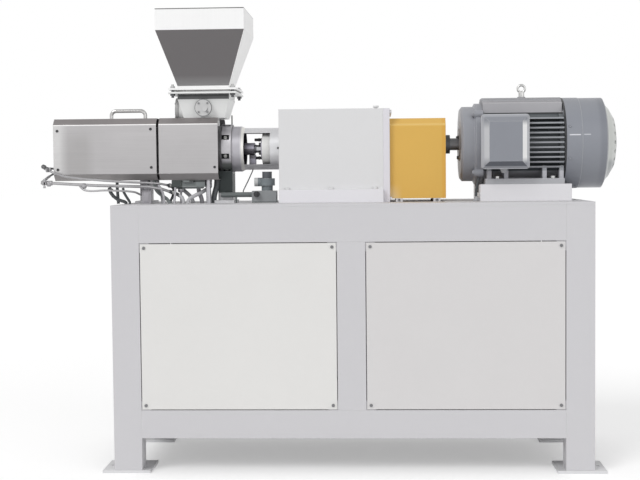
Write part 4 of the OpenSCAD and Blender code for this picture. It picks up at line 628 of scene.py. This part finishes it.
dress(black_bolts("black_oxide"), "barrel_bolts")
support_iron = metal("support_iron", shade(62, 68, 68), metallic=0.5, Grain=(80, 80, 80),
                     Roughness=0.5, Smears=0.4, Smear_Size=14)
# The front post is painted with the fittings, and the feet with the table
zoned(support_iron, (shade(166, 164, 169), between("X", -0.84, -0.70)),
      (shade(206, 206, 208), between("Z", 0.95, 0.990, 0.004)))
dress(support_iron, "barrel_supports")


# Screws
# Polished tool steel elements on splined shafts, held to the gearbox shafts
# by turned sleeves.
screw_steel = metal("screw_steel", shade(190, 191, 194), Grain=(200, 60, 60), Roughness=0.2)
dress(screw_steel, "screw_elements_left", "screw_elements_right", "coupling_sleeve_left",
      "coupling_sleeve_right")


# Clamp ring, lantern and seal housing
# Turned steel pieces that join the barrel to the gearbox. The ring is darker,
# the lantern has a window on each side, the seal housing is painted pale.
screw_axis_z = 1.156
screw_axis = (0, 0, screw_axis_z)
ring_steel = metal("ring_steel", shade(196, 194, 198), metallic=0.8, Grain=(500, 14, 14),
                   Roughness=0.38, Smears=0.35, Smear_Size=30)
# Painted shade makes it greyer below and at the joint with the barrel, and near black in the slots and
# on the lug on top
zoned(ring_steel, (shade(120, 124, 122), between("Z", 1.05, 1.100, 0.012)),
      (shade(116, 115, 118), between("X", -0.4905, -0.4835, 0.0006)),
      (shade(44, 45, 48), nearer(screw_axis, round_x, 0.0895, 0.0915)),
      (shade(34, 32, 32), between("Z", 1.2500, 1.30)))
dress(ring_steel, "clamp_ring")
zinc = plated("zinc_plate", shade(176, 176, 174), 0.35)
ring_low, ring_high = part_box("clamp_ring")
ring_screw_x = (ring_low.x + ring_high.x) / 2
slot_floor_radius = 0.0812
place_all(socket_screw(0.0068, 0.0095),
          [((ring_screw_x, y, screw_axis_z + z), (0, y, z))
           for y, z in on_circle(slot_floor_radius, [107.5 + 45 * turn for turn in range(8)])],
          "clamp_ring_screws", zinc)
lathe_marks = (600, 10, 10)
lantern_steel = metal("lantern_steel", shade(224, 224, 226), metallic=0.5, Grain=lathe_marks,
                      Roughness=0.38, Smears=0.2, Smear_Size=12)
# The left flange is greyer, a painted highlight lays a pale band beside it, and painted shade dims the
# inside
zoned(lantern_steel, (shade(186, 184, 190), between("X", -0.4485, -0.418, 0.008)),
      (shade(238, 237, 232), between("X", -0.4105, -0.4025, 0.003)),
      (shade(92, 92, 96), nearer(screw_axis, round_x, 0.0755, 0.0775)))
dress(lantern_steel, "lantern")
pale_paint = painted("pale_casting_paint", shade(238, 238, 236), Mottle=0.06, Patches=12.0,
                     Gloss_Loss=0.4, Peel=0.4, Edge_Wear=0.2, Edge_Radius=0.001)
dress(pale_paint, "seal_housing")
lantern_screw_x = -0.2725
lantern_flat = 0.0783
place_all(socket_screw(0.0045, 0.003),
          [((lantern_screw_x, side * lantern_flat, screw_axis_z + 0.001), (0, side, 0))
           for side in (-1, 1)],
          "lantern_screws", dark_screw)


def pick_ends():
    pick_faces(lambda centre, normal: abs(normal.z) > 0.9)


def bored_ring(outer, inner, length):
    ring = start_piece("cylinder", vertices=48, radius=outer, depth=length,
                       location=(0, 0, length / 2))
    with editing():
        pick_ends()
        bpy.ops.mesh.inset(thickness=outer - inner)
        bpy.ops.mesh.bridge_edge_loops()
    round_edges(ring, 0.0008)
    return ring


# An oval gland tube stands round both sleeves where they enter the barrel, and a bolted cap
# with a wider bore than both shafts closes the seal housing
gland_steel = metal("gland_steel", shade(168, 166, 178), metallic=0.25, Grain=lathe_marks,
                    Roughness=0.36, Smears=0.3)
# Painted shade darkens the lower half of the gland pieces inside the lantern
zoned(gland_steel, (shade(112, 110, 116), overlap(between("Z", 1.120, 1.1555),
                                                  between("X", -0.41, -0.365))))
gland_start = (-0.4034, 0, screw_axis_z)
gland_stretch = 1.84
gland_tube = seat(bored_ring(0.0230, 0.0180, 0.0370), [(gland_start, (1, 0, 0))])
bpy.ops.transform.resize(value=(1, gland_stretch, 1), center_override=gland_start)
hand_over(gland_tube, "barrel_gland", gland_steel)
seal_cap_x = -0.3415
stud_nut_x = -0.3489
cap_screw_circle = 0.0340
place_all(bored_ring(0.0410, 0.0275, 0.0055), [((seal_cap_x, 0, screw_axis_z), (1, 0, 0))],
          "seal_cap", gland_steel)
place_all(socket_screw(0.0058, 0.0075),
          [((seal_cap_x, y, screw_axis_z + z), (-1, 0, 0))
           for y, z in on_circle(cap_screw_circle, [30 + 60 * turn for turn in range(6)])],
          "seal_cap_screws", dark_screw)
# Two long studs above and below the shafts draw the packing tight
place_all(hex_bolt(0.0056, 0.0170),
          [((stud_nut_x, 0, screw_axis_z + side * cap_screw_circle), (-1, 0, 0))
           for side in (-1, 1)],
          "packing_studs", dark_screw)


def step_ends(rim, rise):
    # Both ends keep a rim, and the middle stands out or lies back
    pick_ends()
    bpy.ops.mesh.inset(thickness=rim)
    bpy.ops.mesh.extrude_region_shrink_fatten(TRANSFORM_OT_shrink_fatten={"value": rise})


# Each sleeve has a thin turned collar beside the cap, set one after the other so that each
# clears its neighbour's sleeve
collar_steel = metal("collar_steel", shade(116, 116, 120), metallic=0.85, Grain=lathe_marks,
                     Roughness=0.34, Smears=0.3)
collar = start_piece("cylinder", vertices=40, radius=0.0153, depth=0.0068, location=(0, 0, 0))
with editing():
    step_ends(0.0020, -0.0012)
round_edges(collar, 0.0009)
second = collar.copy()
second.data = collar.data.copy()
bpy.context.scene.collection.objects.link(second)
shaft_half_pitch = 0.015
for model, shaft, x, side in ((collar, "screw_left", -0.3615, -1),
                              (second, "screw_right", -0.3530, 1)):
    place_all(model, [((x, side * shaft_half_pitch, screw_axis_z), (1, 0, 0))],
              shaft + "_collar", collar_steel, shaft)

# A small stand, screwed to the floor of the lantern, carries the gland tube
stand_height = 0.0466
lantern_floor = (-0.375, 0, 1.0868)
stand = start_piece("cube", size=1, location=(0, 0, stand_height / 2),
                    scale=(0.024, 0.036, stand_height))
with editing():
    step_face((0, 0, 1), 0.005, -0.008)
round_edges(stand, 0.002)
place_all(stand, [(lantern_floor, (0, 0, 1))], "gland_stand", gland_steel)


# Covers and trays
# Folded stainless sheet, brushed along the machine. The long cover is hinged
# at the back and is lifted by its round handle; the short one stays put.
cover_steel = metal("cover_steel", shade(188, 186, 187), metallic=0.85, Grain=(5, 420, 420),
                    Roughness=0.38, Streaks=0.16, Smears=0.22, Smear_Size=5, Edge_Radius=0.001)
# The front is lighter at its free end and duller beside it. The folded top edge shows the
# sheet darker, with a painted highlight along the fold
zoned(cover_steel, (shade(208, 207, 207), overlap(between("X", -1.105, -1.078, 0.03),
                                                  between("Y", -0.126, -0.120))),
      (shade(172, 170, 170), overlap(between("X", -1.045, -0.985, 0.04),
                                     between("Z", 1.07, 1.19, 0.06), strength=0.7)),
      (shade(162, 157, 157), overlap(turned("Z", 0.35, 0.9), between("Z", 1.2485, 1.272))),
      (shade(244, 243, 242), overlap(faces_front, between("Z", 1.2458, 1.2485, 0.0008))))
dress(cover_steel, "long_cover", "short_cover")
tray_steel = metal("tray_steel", shade(160, 157, 157), metallic=0.6, Grain=(5, 300, 300),
                   Roughness=0.5, Streaks=0.2, Smears=0.5, Smear_Size=9)
dress(tray_steel, "lower_trays")
handle_steel = metal("handle_steel", shade(196, 195, 194), Grain=(20, 500, 500), Roughness=0.22)
dress(handle_steel, "cover_handle")
dress(zinc, "hinge_pins")
cover_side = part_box("short_cover")[1].y - 0.0001
place_all(socket_screw(0.0052, 0.0028),
          [((x, side * cover_side, z), (0, side, 0)) for side in (-1, 1)
           for x, z in ((-1.0885, 1.2265), (-0.7405, 1.2305), (-1.0880, 1.0835), (-0.7395, 1.0895))],
          "long_cover_screws", dark_screw, "barrel_cover")
place_all(socket_screw(0.0048, 0.0028),
          [((-0.5045, side * cover_side, 1.0885), (0, side, 0)) for side in (-1, 1)],
          "short_cover_screws", dark_screw)


# Feed throat, port covers and hopper
# A welded stainless hopper on a pale cast throat, bolted together at their
# square flanges. Turned steel covers close the ports of the throat.
# The steel is painted near white, a painted reflection of the bright room around it
hopper_steel = metal("hopper_steel", shade(252, 252, 252), metallic=0.1, Grain=(260, 260, 6),
                     Roughness=0.42, Streaks=0.05, Smears=0.08, Smear_Size=4, Edge_Shine=0.1)
# Painted reflection also makes the front and back slopes dull grey, paler at their foot, and a dark
# line runs along the front of the rim
slope_levels = between("Z", 1.3895, 1.5868, 0.0006)
slope = overlap(faces_front, slope_levels)
slope_grey = shade(110, 107, 108)
zoned(hopper_steel, (slope_grey, slope), (slope_grey, overlap(faces_back, slope_levels)),
      (shade(146, 145, 146), overlap(slope, between("Z", 1.389, 1.392, 0.035), strength=0.8)),
      (shade(168, 168, 168), between("Z", 1.6632, 1.667, 0.0006)),
      (shade(92, 92, 92), overlap(faces_front, between("Z", 1.6620, 1.667, 0.0006))))
dress(hopper_steel, "hopper")
# The nuts on top are bright, the bolt heads under the flange are black
flange_bolts = black_bolts("flange_bolts")
zoned(flange_bolts, (shade(186, 186, 186), between("Z", 1.3790, 1.42)))
dress(flange_bolts, "hopper_bolts")
throat_paint = painted("throat_paint", shade(243, 244, 243), Mottle=0.05, Patches=9.0,
                       Gloss_Loss=0.4, Peel=0.4, Edge_Wear=0.2, Edge_Radius=0.001)
# Painted shadow of the flanges darkens the neck under them, most just below them
neck = overlap(faces_front, between("Z", 1.3405, 1.3592, 0.0008))
zoned(throat_paint, (shade(92, 93, 94), neck),
      (shade(60, 61, 62), overlap(neck, between("Z", 1.352, 1.3592, 0.004))))
dress(throat_paint, "feed_throat")
port_steel = metal("port_steel", shade(200, 200, 200), metallic=0.3, Grain=(80, 80, 80),
                   Roughness=0.42, Streaks=0.03, Smears=0.15, Smear_Size=20)
front_port = (-0.547, 0, 1.308)
round_y = (1, 0, 1)
# The side cover is duller, most on its outer face; the front one has a dark groove and middle
zoned(port_steel, (shade(172, 172, 172), between("X", -0.68, -0.64)),
      (shade(126, 127, 128), overlap(nearer(front_port, round_y, 0.0325, 0.0335),
                                     nearer(front_port, round_y, 0.0302, 0.0294),
                                     between("X", -0.60, -0.50))),
      (shade(138, 139, 140), overlap(between("Y", -0.109, -0.1053, 0.0002),
                                     nearer(front_port, round_y, 0.0165, 0.0155))),
      (shade(110, 111, 112), between("X", -0.6645, -0.6612, 0.0002)))
dress(port_steel, "port_covers")


# Water pipes and hoses
# Thin bent steel pipes run along the tray, and rubber hoses join them to the
# table top.
pipe_steel = metal("pipe_steel", shade(170, 169, 171), metallic=0.55, Grain=(60, 300, 300),
                   Roughness=0.4, Smears=0.35, Smear_Size=24)
dress(pipe_steel, "water_pipes")
hose_rubber = painted("hose_rubber", shade(78, 81, 84), Mottle=0.15, Patches=25.0,
                      Gloss_Loss=0.5, Peel=0.4, Edge_Wear=0.0, Edge_Radius=0.0005, Dust=0.35)
# The hoses that bring clean water are pale, the others dark
zoned(hose_rubber, (shade(188, 188, 191), between("X", -0.6445, -0.525, 0.0004)),
      (shade(186, 186, 189), between("X", -0.745, -0.7045, 0.0004)))
dress(hose_rubber, "hose_bundle")


def nut(radius, length, bore):
    # A hexagon with a turned collar at each end
    body = start_piece("cylinder", vertices=6, radius=radius, depth=length, location=(0, 0, 0))
    with editing():
        step_ends((radius - bore) * 0.45, length * 0.18)
    round_edges(body, radius * 0.08, 1)
    return body


# Union nuts join the pipes where they turn back, the upper pair dark with grease
greased_nut = metal("greased_nut", shade(112, 112, 114), metallic=0.6, Grain=(200, 200, 200),
                    Roughness=0.45)
place_all(nut(0.0085, 0.013, 0.0045),
          [((-1.1395, -0.1285, 1.0947), (16, -4, -7)), ((-1.1225, -0.1352, 1.0852), (24, -6, -13))],
          "upper_union_nuts", greased_nut)
place_all(nut(0.0105, 0.012, 0.006),
          [((-1.1415, -0.1285, 1.0362), (12, -8, -3)), ((-1.1205, -0.1355, 1.0322), (1, 0, -0.03)),
           ((-0.9880, -0.1380, 1.0232), (1, 0, -0.07))],
          "lower_union_nuts", pipe_steel)

# A wing handle turns the small cock on the lower pipe
wing = start_piece("cube", size=1, location=(0, 0, 0.004), scale=(0.0070, 0.016, 0.0030))
with editing():
    for side in (-1, 1):
        pick_faces(lambda centre, normal: normal.y * side > 0.9)
        push((0, side * 0.009, 0.001))
        bpy.ops.transform.resize(value=(1.5, 1, 1.2))
    bpy.ops.mesh.primitive_cylinder_add(vertices=20, radius=0.0062, depth=0.012,
                                        location=(0, 0, -0.0005))
round_edges(wing, 0.0010)
place_all(wing, [((-1.1335, -0.1445, 1.0335), (0, -1, 0))], "cock_handle", pipe_steel)

# The cooling block is a dark cast manifold bolted under the short cover's tray; its pale
# outlets carry the two water hoses
cooling_block = start_piece("cube", size=1, location=(-0.607, -0.072, 1.0285),
                            scale=(0.124, 0.060, 0.0266))
with editing():
    pick_faces(lambda centre, normal: normal.y < -0.9)
    bpy.ops.mesh.subdivide(number_cuts=3)
    pick_faces(lambda centre, normal: normal.y < -0.9 and -0.642 < centre.x < -0.572)
    bpy.ops.mesh.inset(thickness=0.003)
    push((0, 0.005, 0))
    step_face((0, 0, -1), 0.010, 0.006)
round_edges(cooling_block, 0.0018)
block_iron = painted("block_iron", shade(118, 124, 124), Mottle=0.25, Patches=30.0,
                     Gloss_Loss=0.45, Peel=0.6, Edge_Wear=0.35, Edge_Radius=0.0015)
zoned(block_iron, (shade(56, 64, 62), between("X", -0.670, -0.632, 0.004)),
      (shade(60, 64, 64), overlap(between("Z", 1.0345, 1.0422), between("X", -0.60, -0.544, 0.004))))
hand_over(cooling_block, "cooling_block", block_iron)
pale_brass = metal("plated_brass", shade(184, 183, 187), metallic=0.6, Grain=(200, 200, 200),
                   Roughness=0.36, Smears=0.3, Smear_Size=40)
place_all(nut(0.0115, 0.016, 0.007),
          [((-0.534, -0.060, 1.0385), (0, 0, 1)), ((-0.534, -0.0606, 1.0215), (0, 0.1, 1)),
           ((-0.640, -0.070, 1.0065), (0, 0, 1)), ((-0.732, -0.060, 1.0335), (0, 0, 1))],
          "hose_outlets", pale_brass)


def tube(name, radius, finish, route):
    # A bent tube: a smooth path given a round section and caps, then made a mesh
    bpy.ops.object.select_all(action="DESELECT")
    path = bpy.data.curves.new(name, "CURVE")
    path.dimensions = "3D"
    path.bevel_depth = radius
    path.bevel_resolution = 3
    path.use_fill_caps = True
    path.resolution_u = 6
    run = path.splines.new("NURBS")
    run.points.add(len(route) - 1)
    for point, place in zip(run.points, route):
        point.co = (*place, 1)
    run.order_u = 3
    run.use_endpoint_u = True
    piece = bpy.data.objects.new(name, path)
    bpy.context.scene.collection.objects.link(piece)
    piece.select_set(True)
    bpy.context.view_layer.objects.active = piece
    bpy.ops.object.convert(target="MESH")
    with editing():
        bpy.ops.mesh.select_all(action="SELECT")
        bpy.ops.mesh.remove_doubles(threshold=0.00002)
        bpy.ops.mesh.normals_make_consistent(inside=False)
    hand_over(bpy.context.active_object, name, finish)


# The ends of a tube sink a little into the tray above it and the table below it
in_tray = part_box("lower_trays")[0].z + 0.0004
in_table = table_top + 0.0002
tube("drain_leg", 0.0095, pale_brass,
     [(-0.5335, -0.088, 1.0425), (-0.5335, -0.089, 1.018), (-0.5325, -0.092, 0.995),
      (-0.5315, -0.094, 0.972), (-0.5315, -0.094, in_table)])

# The return block stands on the table; a bent pipe brings the return water to its side, and a
# riser joins its top to the tray
return_block = start_piece("cube", size=1, location=(-0.7615, -0.096, 0.9805),
                           scale=(0.034, 0.036, 0.051))
with editing():
    step_face((0, 0, 1), 0.008, 0.010)
    step_face((0, -1, 0), 0.007, 0.004)
round_edges(return_block, 0.002)
lilac_cast = painted("lilac_casting", shade(170, 168, 173), Mottle=0.15, Patches=25.0,
                     Gloss_Loss=0.4, Peel=0.6, Edge_Wear=0.35, Edge_Radius=0.0015)
hand_over(return_block, "return_block", lilac_cast)
return_pipe_route = [
    (-1.006, -0.1365, 1.0250), (-0.996, -0.1390, 1.0120), (-0.978, -0.1440, 1.0050),
    (-0.950, -0.1490, 1.0040), (-0.915, -0.1505, 1.0068), (-0.870, -0.1500, 1.0050),
    (-0.830, -0.1440, 1.0030), (-0.800, -0.1250, 0.9990), (-0.788, -0.1080, 0.9900),
    (-0.776, -0.0980, 0.9850)]
tube("return_pipe", 0.0037, pipe_steel, return_pipe_route)
tube("riser", 0.0050, hose_rubber,
     [(-0.7615, -0.096, 1.014), (-0.7600, -0.094, 1.024), (-0.7570, -0.088, 1.033),
      (-0.7560, -0.084, in_tray)])

# Short bent tubes go from the tray, or from the cooling block's floor, into the table
block_floor = 1.0180
tube("cross_tube", 0.0048, pale_brass,
     [(-0.716, -0.118, 1.0240), (-0.706, -0.112, 1.0080), (-0.700, -0.108, 0.9900),
      (-0.697, -0.106, 0.9700), (-0.697, -0.106, in_table)])
tube("back_tube", 0.0070, hose_rubber,
     [(-0.660, -0.034, in_tray), (-0.652, -0.034, 1.020), (-0.630, -0.036, 1.000),
      (-0.612, -0.038, 0.985), (-0.600, -0.040, 0.968), (-0.598, -0.040, in_table)])
tube("side_tube", 0.0105, hose_rubber,
     [(-0.506, -0.050, in_tray), (-0.506, -0.052, 1.020), (-0.512, -0.060, 0.998),
      (-0.517, -0.066, 0.975), (-0.517, -0.067, in_table)])
tube("tray_drain", 0.0058, hose_rubber,
     [(-0.8800, -0.066, in_tray), (-0.8800, -0.066, 1.020), (-0.8790, -0.067, 1.000),
      (-0.8770, -0.068, 0.978), (-0.8760, -0.068, in_table)])
tube("slanted_tube", 0.0062, block_iron,
     [(-0.7360, -0.090, in_tray), (-0.7350, -0.090, 1.020), (-0.7260, -0.091, 1.000),
      (-0.7060, -0.093, 0.984), (-0.6840, -0.095, 0.970), (-0.6760, -0.096, in_table)])
tube("block_outlet", 0.0046, pale_brass,
     [(-0.6570, -0.094, block_floor), (-0.6570, -0.094, 1.000), (-0.6580, -0.096, 0.985),
      (-0.6600, -0.098, 0.970), (-0.6605, -0.098, in_table)])
tube("rear_outlet", 0.0080, lilac_cast,
     [(-0.5760, -0.052, block_floor), (-0.5750, -0.052, 1.000), (-0.5700, -0.050, 0.985),
      (-0.5640, -0.050, 0.970), (-0.5630, -0.050, in_table)])

# Band clips hold the hoses on their tails
clip = start_piece("cylinder", vertices=24, radius=0.0083, depth=0.008, location=(0, 0, 0))
with editing():
    step_ends(0.0012, -0.0008)
    bpy.ops.mesh.primitive_cylinder_add(vertices=10, radius=0.0024, depth=0.011,
                                        location=(0.0095, 0, 0), rotation=(math.radians(90), 0, 0))
round_edges(clip, 0.0005, 1)
place_all(clip, [((-0.8932, -0.1345, 1.0090), (-2, -4, 16)), ((-0.6790, -0.0830, 1.0215), (-11, -9, 2)),
                 ((-0.6690, -0.0840, 0.9960), (-11, -8, 4)), ((-0.5350, -0.0612, 1.0120), (2, 2, 16)),
                 ((-0.6615, -0.0340, 1.0375), (0, 0, 1))], "hose_clips", zinc)


# Drain valve
# A small cast valve on the table below the seal, painted grey, with a moulded
# dark knob in front that opens it by a quarter turn.
valve_metal = painted("valve_metal", shade(122, 130, 134), Mottle=0.2, Patches=18.0,
                      Gloss_Loss=0.4, Peel=0.5, Edge_Wear=0.4, Edge_Radius=0.0015)
# The pipe on the left and the top are darker, the foot is paler but darker at the table, and
# the stem is bright
valve_length = between("X", -0.3722, -0.28)
zoned(valve_metal, (shade(104, 110, 110), between("X", -0.50, -0.3725)),
      (shade(146, 149, 151), overlap(between("Z", 0.95, 0.9988), valve_length)),
      (shade(112, 116, 116), overlap(between("Z", 0.950, 0.9595), valve_length)),
      (shade(92, 95, 100), between("Z", 1.0455, 1.08)),
      (shade(196, 198, 198), overlap(between("X", -0.366, -0.351), between("Z", 1.0, 1.05))))
dress(valve_metal, "drain_valve")
dress(fan_plastic, "valve_knob")


# Floor, light and air
# A plain floor that shows white and keeps the machine's shadow, a bright even
# room and two broad soft lamps.
bpy.ops.mesh.primitive_plane_add(size=120, location=(0, 0, 0))
floor = bpy.context.active_object
floor.name = "floor"
floor_look = bpy.data.materials.new("floor_look")
floor_look.use_nodes = True
tree = floor_look.node_tree
tree.nodes.clear()
rays = add_node(tree, "ShaderNodeLightPath").outputs
seen = maths(tree, "MAXIMUM", rays["Is Camera Ray"], rays["Is Glossy Ray"])
seen = maths(tree, "MAXIMUM", seen, rays["Is Transmission Ray"])
plain = add_node(tree, "ShaderNodeBsdfDiffuse", {"Color": (0.8, 0.8, 0.8, 1)})
glow = add_node(tree, "ShaderNodeEmission", {"Color": (1, 1, 1, 1), "Strength": 0.34})
lit = add_node(tree, "ShaderNodeAddShader", {0: plain.outputs[0], 1: glow.outputs[0]})
shown = add_node(tree, "ShaderNodeMixShader", {0: seen, 1: plain.outputs[0], 2: lit.outputs[0]})
add_node(tree, "ShaderNodeOutputMaterial", {"Surface": shown.outputs[0]})
floor.data.materials.append(floor_look)

room = bpy.data.worlds.new("room")
bpy.context.scene.world = room
room.use_nodes = True
tree = room.node_tree
tree.nodes.clear()
rays = add_node(tree, "ShaderNodeLightPath").outputs
seen = maths(tree, "MAXIMUM", rays["Is Camera Ray"], rays["Is Transmission Ray"])
height = part_of(tree, add_node(tree, "ShaderNodeTexCoord").outputs["Generated"], "Z")
mirrored = ramp(tree, height, 0.0, 0.9, 1.0, 0.6)
ambient = add_node(tree, "ShaderNodeMix", {0: rays["Is Glossy Ray"], 2: 0.587, 3: mirrored})
strength = add_node(tree, "ShaderNodeMix", {0: seen, 2: ambient.outputs[0], 3: 1.0})
air = add_node(tree, "ShaderNodeBackground", {"Color": (1, 1, 1, 1),
                                              "Strength": strength.outputs[0]})
add_node(tree, "ShaderNodeOutputWorld", {"Surface": air.outputs[0]})

for name, power, spread, aim in (("key_lamp", 1.03, 25, (0.55, 0.75, -0.75)),
                                 ("fill_lamp", 0.43, 50, (-0.6, 0.7, -0.35))):
    lamp = bpy.data.lights.new(name, "SUN")
    lamp.energy = power
    lamp.angle = math.radians(spread)
    lamp_object = bpy.data.objects.new(name, lamp)
    bpy.context.scene.collection.objects.link(lamp_object)
    lamp_object.rotation_mode = "QUATERNION"
    lamp_object.rotation_quaternion = Vector(aim).to_track_quat("-Z", "Y")
bpy.context.scene.view_settings.view_transform = "Standard"

bpy.context.view_layer.update()
